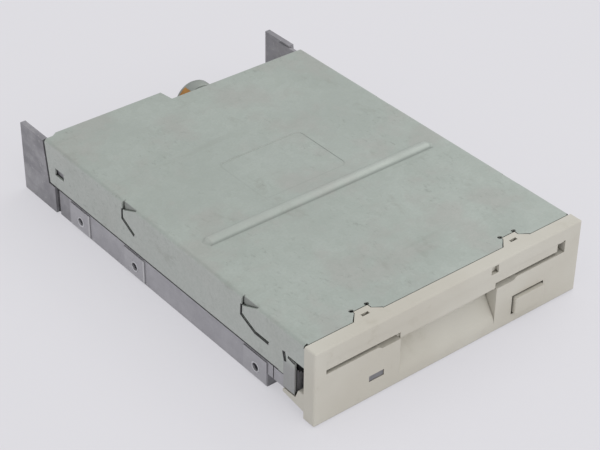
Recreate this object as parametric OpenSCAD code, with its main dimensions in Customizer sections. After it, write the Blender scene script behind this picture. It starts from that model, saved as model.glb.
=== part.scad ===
// Internal 3.5 inch floppy disk drive: die-cast chassis, folded sheet cover, moulded bezel,
// disk loading mechanism, spindle motor, head carriage and circuit boards.
// Lengths are millimetres. Places are first given with y counted back from the bezel's
// front face and z up from the underside; place() then centres the drive on its box.

/* [Overall] */
// Width of the front bezel
bezel_w = 101.6; // [100.8:0.2:106]
// Height of the front bezel
bezel_h = 25.4; // [25:0.1:28]
// Depth of the bezel from its face to the cover
bezel_t = 4.5; // [4.4:0.1:4.8]
// Wall thickness of the bezel moulding
bezel_wall = 1.6; // [1.2:0.1:2]
// Radius of the bezel's outer edges
bezel_round = 0.6; // [0.3:0.1:0.9]
// Depth from the bezel's face to the rear end of the fins
drive_depth = 149.5; // [146:0.5:160]

/* [Cover] */
// Distance of the cover's skirts inside the bezel's ends
cover_inset = 0.4; // [0.1:0.1:0.5]
// Thickness of the cover sheet
cover_t = 0.6; // [0.4:0.1:0.7]
// Height of the lower edge of the skirts
cover_skirt_z = 9.9; // [9.8:0.1:11]
// Outer radius of the folds
cover_bend_r = 1.2; // [0.9:0.1:2]
// Reach of the cover behind the deck over the signal connector
cover_rear_left = 6; // [3.5:0.5:9.5]
// Reach of the cover behind the deck over the stepper motor
cover_rear_right = 0.5; // [-2.5:0.5:2]
// Side place of the jog between the two rear edges
cover_jog_x = -5; // [-12:0.5:0]
// Distance of the stiffening rib behind the bezel's face
rib_y = 58.9; // [50:0.1:62]
// Length of the stiffening rib
rib_len = 88.6; // [60:0.2:92]
// Width of the stiffening rib
rib_w = 4.4; // [2.6:0.1:5]
// Height of the stiffening rib
rib_h = 1; // [0.3:0.05:1.2]
// Side of the embossed pad over the heads, across the drive
pad_w = 33; // [24:0.5:40]
// Side of the embossed pad over the heads, along the drive
pad_l = 25; // [18:0.5:26]
// Depth of the embossed pad
pad_h = 0.1; // [0.1:0.05:0.4]

/* [Chassis] */
// Height of the deck's upper face
deck_top = 12; // [12:0.1:12.2]
// Thickness of the deck
deck_t = 2; // [1.4:0.1:2.4]
// Front edge of the deck
deck_front = 9; // [8.6:0.1:10]
// Length of the fins behind the deck
fin_len = 19; // [14:0.5:20]
// Height of the fins
fin_h = 24.8; // [23:0.1:25]
// Thickness of the fins
fin_t = 1.9; // [1.4:0.1:2.4]
// Thickness of the lower side rails
rail_t = 3.4; // [2.8:0.1:4]
// Gap between the cover's skirts and the side rails
rail_gap = 0.8; // [0.3:0.1:1]
// Height of the walls beside the disk holder
wall_top = 22; // [21:0.1:23.5]
// Distance of the first side hole behind the bezel's face
side_hole_y = 26.5; // [24:0.5:30]
// Spacing from the first to the second side hole
side_pitch_mid = 60; // [58:0.5:62]
// Spacing from the first to the third side hole
side_pitch_end = 90; // [88:0.5:92]
// Height of the side holes
side_hole_z = 4; // [3.5:0.1:5]
// Radius of the tapped mounting holes
mount_hole_r = 1.25; // [1.1:0.05:1.35]
// Distance of the bottom holes from the bezel's ends
bottom_inset = 3.175; // [3:0.025:3.5]
// Distance of the first bottom hole behind the bezel's face
bottom_hole_y = 38; // [36:0.5:42]
// Spacing of the bottom holes along the drive
bottom_pitch = 60; // [56:0.5:62]
// Depth of the bottom holes
bottom_hole_depth = 5; // [4:0.5:7]

/* [Disk and slot] */
// Room between the disk cartridge and each end of the bezel
disk_room = 5.8; // [5.6:0.1:6.8]
// Length of the disk cartridge
disk_l = 94; // [92:0.5:95]
// Side offset of the disk from the drive's centre line
disk_x = -1.2; // [-1.4:0.1:-0.6]
// Distance of the loaded disk behind the bezel's face
disk_front = 4; // [3.5:0.5:5]
// Distance of the spindle behind the bezel's face
spindle_y = 53; // [51.5:0.5:53.5]
// Height of the slot's lower edge and of the resting holder's inside
slot_z = 16.8; // [16.7:0.05:17]
// Height of the slot and of the holder's inside
slot_h = 4.25; // [4.1:0.05:4.4]
// Thickness of the door in the slot
door_t = 0.8; // [0.6:0.1:1]
// Distance of the door behind the bezel's face
door_set = 0.5; // [0.4:0.1:0.7]
// Height of the gap under the door
door_gap = 0.6; // [0.5:0.1:1]
// Radius of the door's pivot pins
door_pin_r = 0.5; // [0.4:0.05:0.55]
// Length of the open end of the slot beside the door
door_end_gap = 2.6; // [2:0.1:3]
// Half width of the finger recess
recess_half = 18.4; // [14:0.2:20]
// Depth of the finger recess
recess_depth = 4.2; // [3.4:0.1:4.4]
// Height at which the finger recess starts
recess_z = 4.7; // [3.5:0.1:6]
// Side of the square mark above the finger recess
mark_side = 2.8; // [2.4:0.1:3.2]
// Depth of the square mark
mark_depth = 1.2; // [0.8:0.1:1.4]
// Length over which the recess's lower edge is rounded
recess_soft = 2; // [1:0.1:2.5]

/* [Eject button and lamp] */
// Width of the eject button
button_w = 11.8; // [10:0.1:13]
// Height of the eject button
button_h = 5.8; // [5:0.1:6.4]
// Distance of the eject button's centre from the bezel's right end
button_end = 20.8; // [18.8:0.1:22.8]
// Height of the eject button's centre
button_z = 6.7; // [6.2:0.1:7]
// Gap between the eject button and the bezel
button_gap = 0.45; // [0.3:0.05:0.6]
// How far the button stands out of the bezel
button_proud = 1.2; // [0.8:0.1:2]
// Side place of the lamp window
lamp_x = -28.5; // [-32:0.5:-26]
// Height of the lamp window's centre
lamp_z = 7.05; // [7:0.05:7.6]
// Width of the lamp window
lamp_w = 5.4; // [4:0.1:6]
// Height of the lamp window
lamp_h = 2; // [1.6:0.1:2.4]

/* [Loading mechanism] */
// Travel of the eject slider between empty and loaded
eject_travel = 5.5; // [4:0.1:5.6]
// How far the button goes past its latched place
over_press = 0.8; // [0.4:0.1:1]
// How far the holder drops when a disk is loaded
load_drop = 2.3; // [1.8:0.1:2.3]
// Sheet thickness of the holder
holder_t = 0.6; // [0.5:0.05:0.7]
// Sheet thickness of the slider
slider_t = 0.8; // [0.6:0.05:0.9]
// Radius of the holder's guide pins
guide_pin_r = 1; // [0.8:0.05:1.1]
// Place of the front guide pins
guide_pin_front = 25; // [24.5:0.5:30]
// Distance of the rear guide pins ahead of the disk's rear edge
guide_pin_rear = 13; // [10:0.5:18]
// Mean coil radius of the slider springs
spring_r = 1.4; // [1.1:0.05:1.5]
// Wire radius of the slider springs
spring_wire_r = 0.25; // [0.2:0.05:0.3]
// Turns of each slider spring
spring_turns = 16; // [10:1:18]
// Side place of the holder's windows and their leaf springs
leaf_x = 28; // [26:0.5:30]
// Depth place of the holder's windows and their leaf springs
leaf_y = 45; // [42:0.5:48]
// Half width of the holder's windows
leaf_half = 6; // [5:0.5:7]
// Half length of the holder's windows
leaf_run = 14; // [12:0.5:15]

/* [Spindle motor] */
// Radius of the rotor cup
rotor_r = 24; // [22:0.5:26]
// Radius of the spindle shaft
shaft_r = 2; // [1.5:0.1:2.4]
// Radius of the drive hub
hub_r = 12; // [10:0.5:12.5]
// Radius of the drive pin's circle
drive_pin_pitch = 9; // [8:0.1:9.5]
// Poles of the stator
stator_poles = 9; // [6:3:12]

/* [Head carriage] */
// Radius of the outermost track
track_r = 39.5; // [39:0.1:40]
// Travel of the heads over the tracks
head_travel = 15; // [14:0.1:15.2]
// Radius of the guide rods
rod_r = 1.5; // [1.2:0.1:1.6]
// Half spacing of the guide rods
rod_half = 9; // [8.6:0.1:9.2]
// Height of the guide rods' axes
rod_z = 11; // [10.8:0.1:11.2]
// Radius of the lead screw
screw_r = 1.5; // [1.2:0.1:1.5]
// Side place of the lead screw from the disk's centre line
screw_x = 12.5; // [12.2:0.1:13.5]
// Height of the lead screw and the stepper motor
screw_z = 14.5; // [14.5:0.1:15.5]
// Radius of the stepper motor's can
stepper_r = 7.5; // [6:0.1:8]
// Length of the stepper motor's can
stepper_len = 11; // [9:0.5:13]
// Distance of the head circuit's loop ahead of the carriage's rear end
flex_reach = 19; // [18:0.5:20]

/* [Boards and connectors] */
// Height of the boards' lower faces
board_z = 4.2; // [4.1:0.05:4.3]
// Thickness of the boards
board_t = 1.2; // [1:0.05:1.3]
// Columns of pins in the signal connector
signal_columns = 17; // [10:1:17]
// Pitch of the signal connector's pins
signal_pitch = 2.54; // [2:0.01:2.54]
// Height of the signal connector's shroud
signal_h = 8.6; // [8:0.1:9]
// Gap between the signal connector and the left wall
signal_edge = 1.6; // [1:0.1:2]
// Pins in the power connector
power_pins_n = 4; // [3:1:4]
// Pitch of the power connector's pins
power_pitch = 2.5; // [2:0.1:2.5]
// Side place of the power connector's centre
power_x = 34; // [32:0.5:36]

// Side place of the controller chip
chip_x = 13; // [12:0.5:14]
// Distance of the controller chip's centre behind the main board's front edge
chip_back = 21; // [20:0.5:22]
// Side of the controller chip
chip_side = 14; // [13:0.5:15]
// Spacing of the controller chip's leads
lead_pitch = 1.3; // [1.2:0.05:1.3]

/* [Clearances] */
// Gap between sliding sheets and between fixed neighbours
run_gap = 0.2; // [0.15:0.05:0.25]
// Gap round the button, the lamp window and the door
trim_gap = 0.25; // [0.15:0.05:0.3]
// Radial clearance of a shaft in its bore
bore_gap = 0.05; // [0.03:0.01:0.08]

/* [Hidden] */
$fn = 48;
eps = 0.01;

// Places along the drive
deck_end = drive_depth - fin_len;
disk_end = disk_front + disk_l;
rear_left_y = deck_end + cover_rear_left;
rear_right_y = deck_end + cover_rear_right;
pin_places = [guide_pin_front, disk_end - guide_pin_rear];
holder_front = 7;
holder_rear = disk_end - 1;
head_y = spindle_y + track_r;
front_wall_t = 1.5;

// Heights
deck_under = deck_top - deck_t;
board_top = board_z + board_t;
cover_top = bezel_h;
cover_under = cover_top - cover_t;
rail_h = cover_skirt_z - rail_gap;
fin_step_z = cover_skirt_z - 0.3;
slot_top = slot_z + slot_h;
holder_under = slot_z - holder_t;
holder_top = slot_top + holder_t;
slider_z = deck_top + 0.3;
slider_top = slider_z + slider_t;
loaded_z = slot_z - load_drop;
guide_pin_z = slot_z + slot_h / 2;

// Half widths counted from the disk's centre line
disk_w = bezel_w - 2 * disk_room;
slot_half = disk_w / 2 + 0.5;
holder_in = disk_w / 2 + 0.3;
holder_out = holder_in + holder_t;
arm_in = holder_out + run_gap;
arm_out = arm_in + slider_t;
wall_in = arm_out + run_gap;
strip_in = holder_out - 8;
lip_w = 4.4;

// Half widths counted from the drive's centre line
cover_w = bezel_w - 2 * cover_inset;
cover_in = cover_w / 2 - cover_t;
wall_out = cover_in - 0.3;
fin_wall_t = 1.2;
lance_depth = 0.7;
rail_out = cover_w / 2 - 0.4;
rail_in = rail_out - rail_t;
fin_out = cover_w / 2 + 0.2;
pad_out = cover_w / 2;
board_half = rail_in - 0.6;

// Mounting holes
bottom_span = bezel_w - 2 * bottom_inset;
side_holes = [side_hole_y, side_hole_y + side_pitch_mid, side_hole_y + side_pitch_end];
bottom_holes = [bottom_hole_y, bottom_hole_y + bottom_pitch];
boss_in = rail_in - 1.8;
boss_half = 4;

// Door
door_left = disk_x - slot_half + trim_gap;
door_right = disk_x + slot_half - door_end_gap;
door_y = door_set + door_t / 2;
door_low = slot_z + door_gap;
door_high = slot_top - 0.15;
door_axis_z = door_high - door_t / 2;
recess_x = disk_x - 0.4;
tongue_z = 15.5;
recess_top = 15.2;
lip_low = 15.9;
lip_flare = 8.2;
lip_depth = 2.2;
button_x = bezel_w / 2 - button_end;

// Lever, springs and switches
lever_x = disk_x - strip_in + 3.9;
lever_y = disk_end + 8;
lever_z = slider_top + 0.3;
lever_t = 0.8;
lever_post_r = 1.6;
lever_hub_r = 3.6;
finger_x = 12.5;
finger_y = -13.5;
finger_r = 0.9;
hook_reach = 8.4;
spring_x = strip_in - 5.9;
spring_y0 = 42;
spring_y1 = 70;
spring_z = deck_top + 0.1;
spring_slot_half = spring_r + spring_wire_r + 0.45;
plunger_y = 17;
plunger_r = 1;
switch_top = deck_under - 0.6;
plunger_top = loaded_z + 0.8;

// Fixings
motor_screw_at = [[-20, 20], [14, 20], [-26, 80], [24, 80]];
board_screw_x = board_half - 6;
board_screw_at = [for (y = [96, deck_end - 5], s = [-1, 1]) [s * board_screw_x, y]];
board_front = 88;
screw_shank_r = 1;
screw_head_r = 2;
screw_head_h = 1.1;
bearing_r = 5;

// Head carriage
car_front = head_y - 7.3;
car_rear = deck_end - 7;
car_z0 = deck_under - 0.4;
car_z1 = loaded_z - 1.1;
bush_r = rod_r + 1.1;
window_front = car_front - head_travel - 0.7;
window_rear = car_rear + 0.6;
rod_front = window_front - 3.5;
rod_rear = window_rear + 3.5;
window_left = bush_r + rod_half + 1;
window_right = bush_r + rod_half + 0.3;
arm_hinge_y = car_rear - 3;
arm_len = arm_hinge_y - head_y;
arm_hinge_z = 19;
arm_pin_r = 0.8;
arm_half = 6.5;
tower_half = 8.5;
arm_z0 = slot_top + 0.5;
arm_t = 1.4;
head_top = loaded_z + 1.6;
upper_head_z = slot_top - 0.2;
follower_y = car_rear - 8.7;
follower_half = 2.5;
follower_seat = rod_z + bush_r - 0.4;

// Lead screw and stepper motor
screw_abs = disk_x + screw_x;
screw_front = disk_end + 1.2;
bracket_t = 1;
bracket_rear = deck_end - 0.3;
stepper_front = bracket_rear + 0.45;
stepper_rear = stepper_front + stepper_len;
bracket_half = 5.2;
bracket_in = screw_x - 0.5;
small_screw_r = 0.8;
bracket_screw_x = screw_abs + 3.2;
bracket_screw_y = [for (f = [0.16, 0.74]) screw_front + f * (bracket_rear - screw_front)];

// Rear connectors
board_rear = deck_end + 9.5;
header_y0 = board_rear - 6;
header_y1 = board_rear + 2.6;
signal_w = signal_columns * signal_pitch + 1.2;
power_w = power_pins_n * power_pitch + 2.6;
signal_x = signal_w / 2 + signal_edge + fin_wall_t - wall_out;

// The part's origin: centre of its box on the underside
origin_y = (drive_depth - button_proud) / 2;

module place() {
    translate([0, -origin_y, 0]) children();
}

// Box between two corners
module box(x0, x1, y0, y1, z0, z1) {
    translate([x0, y0, z0]) cube([x1 - x0, y1 - y0, z1 - z0]);
}

// Outline in y and z, drawn out along x
module side_plate(x0, x1, points) {
    translate([x0, 0, 0]) rotate([90, 0, 90]) linear_extrude(x1 - x0) polygon(points);
}

// Outline in x and z, drawn out along y
module front_plate(y0, y1, points) {
    translate([0, y1, 0]) rotate([90, 0, 0]) linear_extrude(y1 - y0) polygon(points);
}

// Outline in x and y, drawn out along z
module flat_plate(z0, z1, points) {
    translate([0, 0, z0]) linear_extrude(z1 - z0) polygon(points);
}

module rod_x(y, z, r, x0, x1) {
    translate([x0, y, z]) rotate([0, 90, 0]) cylinder(r = r, h = x1 - x0);
}

module rod_y(x, z, r, y0, y1) {
    translate([x, y1, z]) rotate([90, 0, 0]) cylinder(r = r, h = y1 - y0);
}

module rod_z(x, y, r, z0, z1) {
    translate([x, y, z0]) cylinder(r = r, h = z1 - z0);
}

module both_sides() {
    children();
    mirror([1, 0, 0]) children();
}

// Points of an arc, from angle a0 to a1
function arc(c, r, a0, a1, n = 6) =
    [for (i = [0:n]) c + r * [cos(a0 + (a1 - a0) * i / n), sin(a0 + (a1 - a0) * i / n)]];

function round_rect(x0, x1, y0, y1, r) = concat(
    arc([x1 - r, y1 - r], r, 0, 90),
    arc([x0 + r, y1 - r], r, 90, 180),
    arc([x0 + r, y0 + r], r, 180, 270),
    arc([x1 - r, y0 + r], r, 270, 360));

function unit(v) = v / norm(v);

// One ring of a wire, square to its direction
function ring(p, t, up, r, sides) =
    let (n = unit(cross(t, up)), b = cross(n, t))
    [for (i = [0:sides - 1]) p + r * (cos(360 * i / sides) * n + sin(360 * i / sides) * b)];

// A closed tube along a path whose direction is never along up
module wire(path, r, up, sides = 6) {
    n = len(path);
    dirs = [for (i = [0:n - 1]) unit(path[min(i + 1, n - 1)] - path[max(i - 1, 0)])];
    points = [for (i = [0:n - 1]) each ring(path[i], dirs[i], up, r, sides)];
    walls = [for (i = [0:n - 2]) for (j = [0:sides - 1])
        let (a = i * sides + j, b = i * sides + (j + 1) % sides)
        each [[a, a + sides, b], [b, a + sides, b + sides]]];
    start = [for (j = [1:sides - 2]) [0, j, j + 1]];
    last = (n - 1) * sides;
    finish = [for (j = [1:sides - 2]) [last, last + j + 1, last + j]];
    polyhedron(concat([], points), concat(walls, start, finish), convexity = 8);
}

// Helix about the y axis through [x, z], with a straight leg at each end
function coil_y(x, z, r, y0, y1, turns, leg, rings = 8) =
    let (n = turns * rings,
        coil = [for (i = [0:n]) let (a = 90 + 360 * i / rings)
            [x + r * cos(a), y0 + (y1 - y0) * i / n, z + r * sin(a)]])
    concat([coil[0] + [leg, 0, 0]], coil, [coil[n] - [leg, 0, 0]]);

// Helix about the z axis through [x, y], with a straight leg at each end
function coil_z(x, y, r, z0, z1, turns, leg, rings = 8) =
    let (n = turns * rings,
        coil = [for (i = [0:n]) let (a = 360 * i / rings)
            [x + r * cos(a), y + r * sin(a), z0 + (z1 - z0) * i / n]])
    concat([coil[0] - [0, leg, 0]], coil, [coil[n] + [0, leg, 0]]);

// Least gap between neighbouring turns of a coil
function coil_gap(length, turns, wire_r) = length / turns - 2 * wire_r;

lever_coil_turns = 3;
lever_coil_len = 3;
lever_wire_r = 0.25;
echo(slider_spring_gap = coil_gap(spring_y1 - spring_y0, spring_turns, spring_wire_r));
echo(lever_spring_gap = coil_gap(lever_coil_len, lever_coil_turns, lever_wire_r));

// Outline of the fins in y and z, from the rear edge of the cover's skirt
function fin_outline(skirt_end) = [
    [deck_end + 0.2, 0], [drive_depth, 0], [drive_depth, fin_h], [skirt_end + 0.6, fin_h],
    [skirt_end - 1.3, fin_step_z], [deck_end + 0.2, fin_step_z]];

module chassis_side(left) {
    s = left ? -1 : 1;
    inner = wall_in + s * disk_x;
    scale_x = left ? [1, 0, 0] : [0, 0, 0];
    mirror(scale_x) difference() {
        union() {
            box(rail_in, rail_out, deck_front + 5, deck_end - 1.4, 0, rail_h);
            box(rail_in, wall_out - 1, deck_end - 1.5, deck_end + 1, 0, rail_h);
            for (y = side_holes) box(rail_out - eps, pad_out, y - 5.1, y + 5.6, 0.5, rail_h - 0.4);
            for (y = bottom_holes)
                box(boss_in, rail_in + eps, y - boss_half, y + boss_half, 0, deck_under + eps);
            box(inner, wall_out, deck_front - 0.4, deck_end, rail_h - eps, wall_top);
            box(inner, wall_out - 0.7, deck_front - 0.4, deck_front + 3.6, wall_top - eps, cover_under);
            box(inner, wall_out - 0.7, deck_end - 8, deck_end, wall_top - eps, cover_under);
            box(wall_out - fin_wall_t, wall_out, deck_end - eps, drive_depth - 8, 0, fin_h - 0.7);
            box(wall_out - 1.4, wall_out, deck_front - 0.4, deck_front + 4.9, 5.6, 17.2);
            side_plate(fin_out - fin_t, fin_out, fin_outline(rear_left_y - 1));
        }
        for (y = side_holes) rod_x(y, side_hole_z, mount_hole_r, rail_in - 4, pad_out + 1);
        for (y = bottom_holes) rod_z(bottom_span / 2, y, mount_hole_r, -1, bottom_hole_depth);
        for (y = hook_places)
            box(wall_out - lance_depth, wall_out + 1, y - 13, y + 1.2, 15.2, wall_top + 1);
        box(wall_out - lance_depth, wall_out + 1, leg_front - 2, leg_front + 6, 13.8, 18.6);
        for (y = pin_places)
            box(inner - 1, wall_out + 1, y - guide_pin_r - 0.15, y + guide_pin_r + 0.15,
                guide_pin_z - load_drop - guide_pin_r - 0.3, wall_top + 1);
        box(rail_in - 1, rail_out + 1, deck_front + 4, deck_front + 12.4, -1, 4.7);
        box(rail_out - 0.3, rail_out + 1, deck_front + 9.5, deck_front + 9.9, 4.7 - eps, rail_h + 1);
    }
}

module deck() {
    difference() {
        union() {
            box(-wall_out, wall_out, deck_front, deck_end, deck_under, deck_top);
            front_beam();
            for (p = motor_screw_at) rod_z(p[0], p[1], 3, board_top, deck_under + eps);
            for (p = board_screw_at) rod_z(p[0], p[1], 3, board_top, deck_under + eps);
            rod_z(lever_x + 3.5, lever_y + 3.1, 0.6,
                deck_top - eps, lever_z + lever_t + lever_coil_len + 0.8);
            for (s = [-1, 1]) {
                rod_seat(s, rod_front, window_front);
                rod_seat(s, window_rear, rod_rear);
                rod_z(disk_x + s * (spring_x - spring_r - 2.4), spring_y0, 0.9,
                    deck_top - eps, spring_z + spring_r + 0.3);
            }
        }
        rod_z(disk_x, spindle_y, bearing_r + 0.03, deck_under - 1, deck_top + 1);
        box(disk_x - window_left, disk_x + window_right, window_front, window_rear, 0, deck_top + 1);
        for (s = [-1, 1]) {
            box(disk_x + s * spring_x - spring_slot_half, disk_x + s * spring_x + spring_slot_half,
                spring_y0 - 1.2, spring_y1 + 1.2, 0, deck_top + 1);
            rod_groove(s, rod_front, window_front + eps);
            rod_groove(s, window_rear - eps, rod_rear);
        }
        for (x = plunger_places) rod_z(disk_x + x, plunger_y, plunger_r + 0.3, 0, deck_top + 1);
        box(button_x - button_w / 2 - 1.5, button_x + button_w / 2 + 1.5,
            0, deck_front + over_press + slider_t + 1.2, 0, deck_top + 1);
        for (p = concat(motor_screw_at, board_screw_at))
            rod_z(p[0], p[1], screw_shank_r + 0.03, 0, deck_under - 0.4);
        for (y = bracket_screw_y)
            rod_z(bracket_screw_x, y, small_screw_r + 0.03, deck_under - 1, deck_top + 1);
    }
}

// Beam under the deck's front edge, open for the lamp
module front_beam() {
    difference() {
        box(-rail_in - 1, rail_in + 1, deck_front, deck_front + front_wall_t, 3, deck_top);
        box(lamp_x - 4, lamp_x + 4, 0, deck_front + 5, 0, deck_under - 0.5);
    }
}

module rod_seat(s, y0, y1) {
    box(disk_x + s * rod_half - 4, disk_x + s * rod_half + 4, y0, y1, rod_z - rod_r - 1.6, deck_top);
}

module rod_groove(s, y0, y1) {
    x = disk_x + s * rod_half;
    rod_y(x, rod_z, rod_r, y0, y1);
    box(x - rod_r, x + rod_r, y0, y1, rod_z, deck_top + 1);
}

module chassis() {
    color("DarkGray") place() {
        deck();
        chassis_side(true);
        chassis_side(false);
    }
}

// Folded section of the cover: top sheet, two bends and two skirts
function cover_section(half, top, r) = concat(
    [[-half, cover_skirt_z]],
    arc([-half + r, top - r], r, 180, 90),
    arc([half - r, top - r], r, 90, 0),
    [[half, cover_skirt_z]]);

tab_x = 28.2;
tab_y = 8.1;
tab_back = 2.55;
tab_front = 5.2;

// Plan of a bezel tab, grown by a gap
function tab_plan(x, gap) = [
    [x - tab_front - gap, 0], [x - tab_front - gap, bezel_t + 0.2 + gap],
    [x - tab_back - gap, tab_y - 0.6], [x - tab_back - gap, tab_y + gap],
    [x + tab_back + gap, tab_y + gap], [x + tab_back + gap, tab_y - 1.4],
    [x + tab_front + gap, bezel_t + 0.2 + gap], [x + tab_front + gap, 0]];

cover_front = bezel_t + 0.2;
corner_step = 1.2;
hook_places = [32.5, disk_end - 6.45];
tab_hole_r = 0.75;
leg_front = deck_front - 0.1;
leg_rear = leg_front + 4.9;
leg_z = 5.6;

// Lanced hook in a skirt: a bent slit, and a three-cornered notch at the fold
module hook_cut(y) {
    slit = 0.6;
    low = y == hook_places[0] ? [[y - 5.8, 16.4], [y - 12, 16.3]] : [[y - 5.8, 15.9]];
    spine = concat([[y, cover_top + 1], [y + 0.2, 19]], low);
    back = [for (i = [len(spine) - 1:-1:0]) spine[i] + [-slit * 0.6, i == 0 ? 0 : slit]];
    side_plate(cover_in - lance_depth, cover_w / 2 + 1, concat(spine, back));
    side_plate(cover_w / 2 - lance_depth, cover_w / 2 + 1, [[y + 0.1, cover_top + 1],
        [y - 7.2, cover_top + 1], [y - 6.8, 24.9], [y - 0.9, 22.5], [y + 0.1, 22.4]]);
}

// Tongue bent in behind a hook's notch
module hook_tongue(y) {
    outer = cover_w / 2 - lance_depth;
    side_plate(outer - cover_t, outer, [[y + 0.9, cover_under + 0.1], [y - 7.8, cover_under + 0.1],
        [y - 7.8, 23.8], [y - 1.6, wall_top + 0.2], [y + 0.9, wall_top + 0.2]]);
}

// Legs at the front of the skirts
module cover_legs() {
    both_sides() box(cover_in, cover_w / 2, leg_front, leg_rear, leg_z, cover_skirt_z + 1);
}

// Slits that free the upper end of a leg
module leg_slits() {
    side_plate(cover_in - 1, cover_w / 2 + 1, [[leg_rear - 0.7, 18.1], [leg_rear - 0.1, 18],
        [leg_rear - 0.9, 14.8], [leg_rear - 1.3, 14.9]]);
    side_plate(cover_in - 1, cover_w / 2 + 1, [[leg_front - 1, 16.3], [leg_rear - 1.9, 17.1],
        [leg_rear - 1.9, 17.5], [leg_front - 1, 17.5]]);
}

module rib(r_in) {
    arch_r = (rib_w * rib_w / 4 + rib_h * rib_h) / (2 * rib_h);
    r = arch_r - r_in;
    z = cover_top + rib_h - arch_r;
    run_out = 2;
    translate([0, rib_y, z]) rotate([0, 90, 0]) {
        cylinder(r = r, h = rib_len - 2 * run_out, center = true);
        for (m = [0, 1]) mirror([0, 0, m])
            translate([0, 0, rib_len / 2 - run_out - eps]) cylinder(r1 = r, r2 = r - rib_h, h = run_out);
    }
}

module cover_sheet() {
    plan = [[-cover_w, cover_front], [cover_w, cover_front], [cover_w, rear_right_y],
        [cover_jog_x + 0.7, rear_right_y], [cover_jog_x, rear_left_y],
        [-cover_w / 2 + 5, rear_left_y], [-cover_w / 2 + 3.2, rear_left_y - corner_step],
        [-cover_w, rear_left_y - corner_step]];
    intersection() {
        front_plate(0, rear_left_y + 1, concat(
            cover_section(cover_w / 2, cover_top, cover_bend_r),
            [for (i = [15:-1:0]) cover_section(cover_in, cover_under, cover_bend_r - cover_t)[i]]));
        flat_plate(0, cover_top + 1, plan);
    }
}

// Outline of the embossed pad, drawn in by g
pad_y = head_y - pad_l / 2 - 2;
function pad_plan(g) = round_rect(g - pad_w / 2, pad_w / 2 - g,
    pad_y + g - pad_l / 2, pad_y - g + pad_l / 2, 2);

module top_cover() {
    color("#a8b0a8") place() difference() {
        union() {
            cover_sheet();
            cover_legs();
            both_sides() for (y = hook_places) hook_tongue(y);
            intersection() {
                rib(0);
                box(-cover_in, cover_in, rib_y - rib_w, rib_y + rib_w, cover_under, cover_top + 2);
            }
            flat_plate(cover_under - pad_h, cover_under + eps, pad_plan(0));
        }
        intersection() {
            rib(cover_t);
            box(-cover_in, cover_in, rib_y - rib_w, rib_y + rib_w, cover_under - 1, cover_top + 2);
        }
        flat_plate(cover_top - pad_h, cover_top + 1, pad_plan(cover_t));
        for (x = [-tab_x, tab_x]) {
            flat_plate(cover_under - 1, cover_top + 1, tab_plan(x, trim_gap));
            for (s = [-1, 1])
                rod_z(x + s * (tab_back + 0.2), tab_y + 0.7, tab_hole_r, cover_under - 1, cover_top + 1);
        }
        both_sides() {
            for (y = hook_places) hook_cut(y);
            leg_slits();
            box(cover_w / 2 - cover_bend_r, cover_w, 0, cover_front + 0.6,
                cover_top - cover_bend_r, cover_top + 1);
            box(cover_in - 2, cover_w, 0, leg_front, 0, 17.5);
        }
        mirror([1, 0, 0]) box(cover_in - 2, cover_w, deck_end - 5.5, deck_end - 0.6, 14.7, 17.3);
        mirror([1, 0, 0]) side_plate(cover_in - 2, cover_w, [[rear_left_y - corner_step, cover_top - 1],
            [rear_left_y - corner_step - 1.9, cover_skirt_z - 1], [rear_left_y + 2, cover_skirt_z - 1]]);
    }
}

// Bezel block with small round outer edges at the front
module bezel_block() {
    r = bezel_round;
    intersection() {
        front_plate(0, bezel_t, round_rect(-bezel_w / 2, bezel_w / 2, 0, bezel_h, r));
        side_plate(-bezel_w / 2, bezel_w / 2, concat([[bezel_t, 0], [bezel_t, bezel_h]],
            arc([r, bezel_h - r], r, 90, 180), arc([r, r], r, 180, 270)));
        flat_plate(0, bezel_h, concat([[bezel_w / 2, bezel_t], [-bezel_w / 2, bezel_t]],
            arc([-bezel_w / 2 + r, r], r, 180, 270), arc([bezel_w / 2 - r, r], r, 270, 360)));
    }
}

// Points of a soft bend from a to c, drawn towards the corner b
function bend(a, b, c, n = 8) = [for (i = [0:n])
    let (t = i / n) (1 - t) * (1 - t) * a + 2 * t * (1 - t) * b + t * t * c];

// Finger recess in y and z
recess_edge = [0, recess_z];
recess_foot = [recess_depth, recess_top - 3.9];
recess_side = concat([[-1, recess_z - recess_soft]],
    bend([0, recess_z - recess_soft], recess_edge,
        recess_edge + recess_soft * unit(recess_foot - recess_edge)),
    [recess_foot, [recess_depth, recess_top], [-1, recess_top]]);

// Wall behind the finger recess
recess_wall = 1.2;
recess_back = [[1, recess_z - recess_wall],
    [recess_depth + recess_wall, recess_top - 3.9 - recess_wall * 0.4],
    [recess_depth + recess_wall, recess_top], [1, recess_top]];

// Tongues of the bezel that taper back under the cover's legs
module bezel_wings() {
    top = leg_z - 0.3;
    tip = deck_front + 4.8;
    both_sides() side_plate(bezel_w / 2 - 2, bezel_w / 2 - 0.2, [
        [bezel_t - eps, 2.5], [tip, top - 1.4], [tip, top - 0.5], [tip - 1, top],
        [leg_front - 0.6, top], [leg_front - 1.8, top + 3.1], [bezel_t - eps, top + 3.3]]);
}

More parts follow.
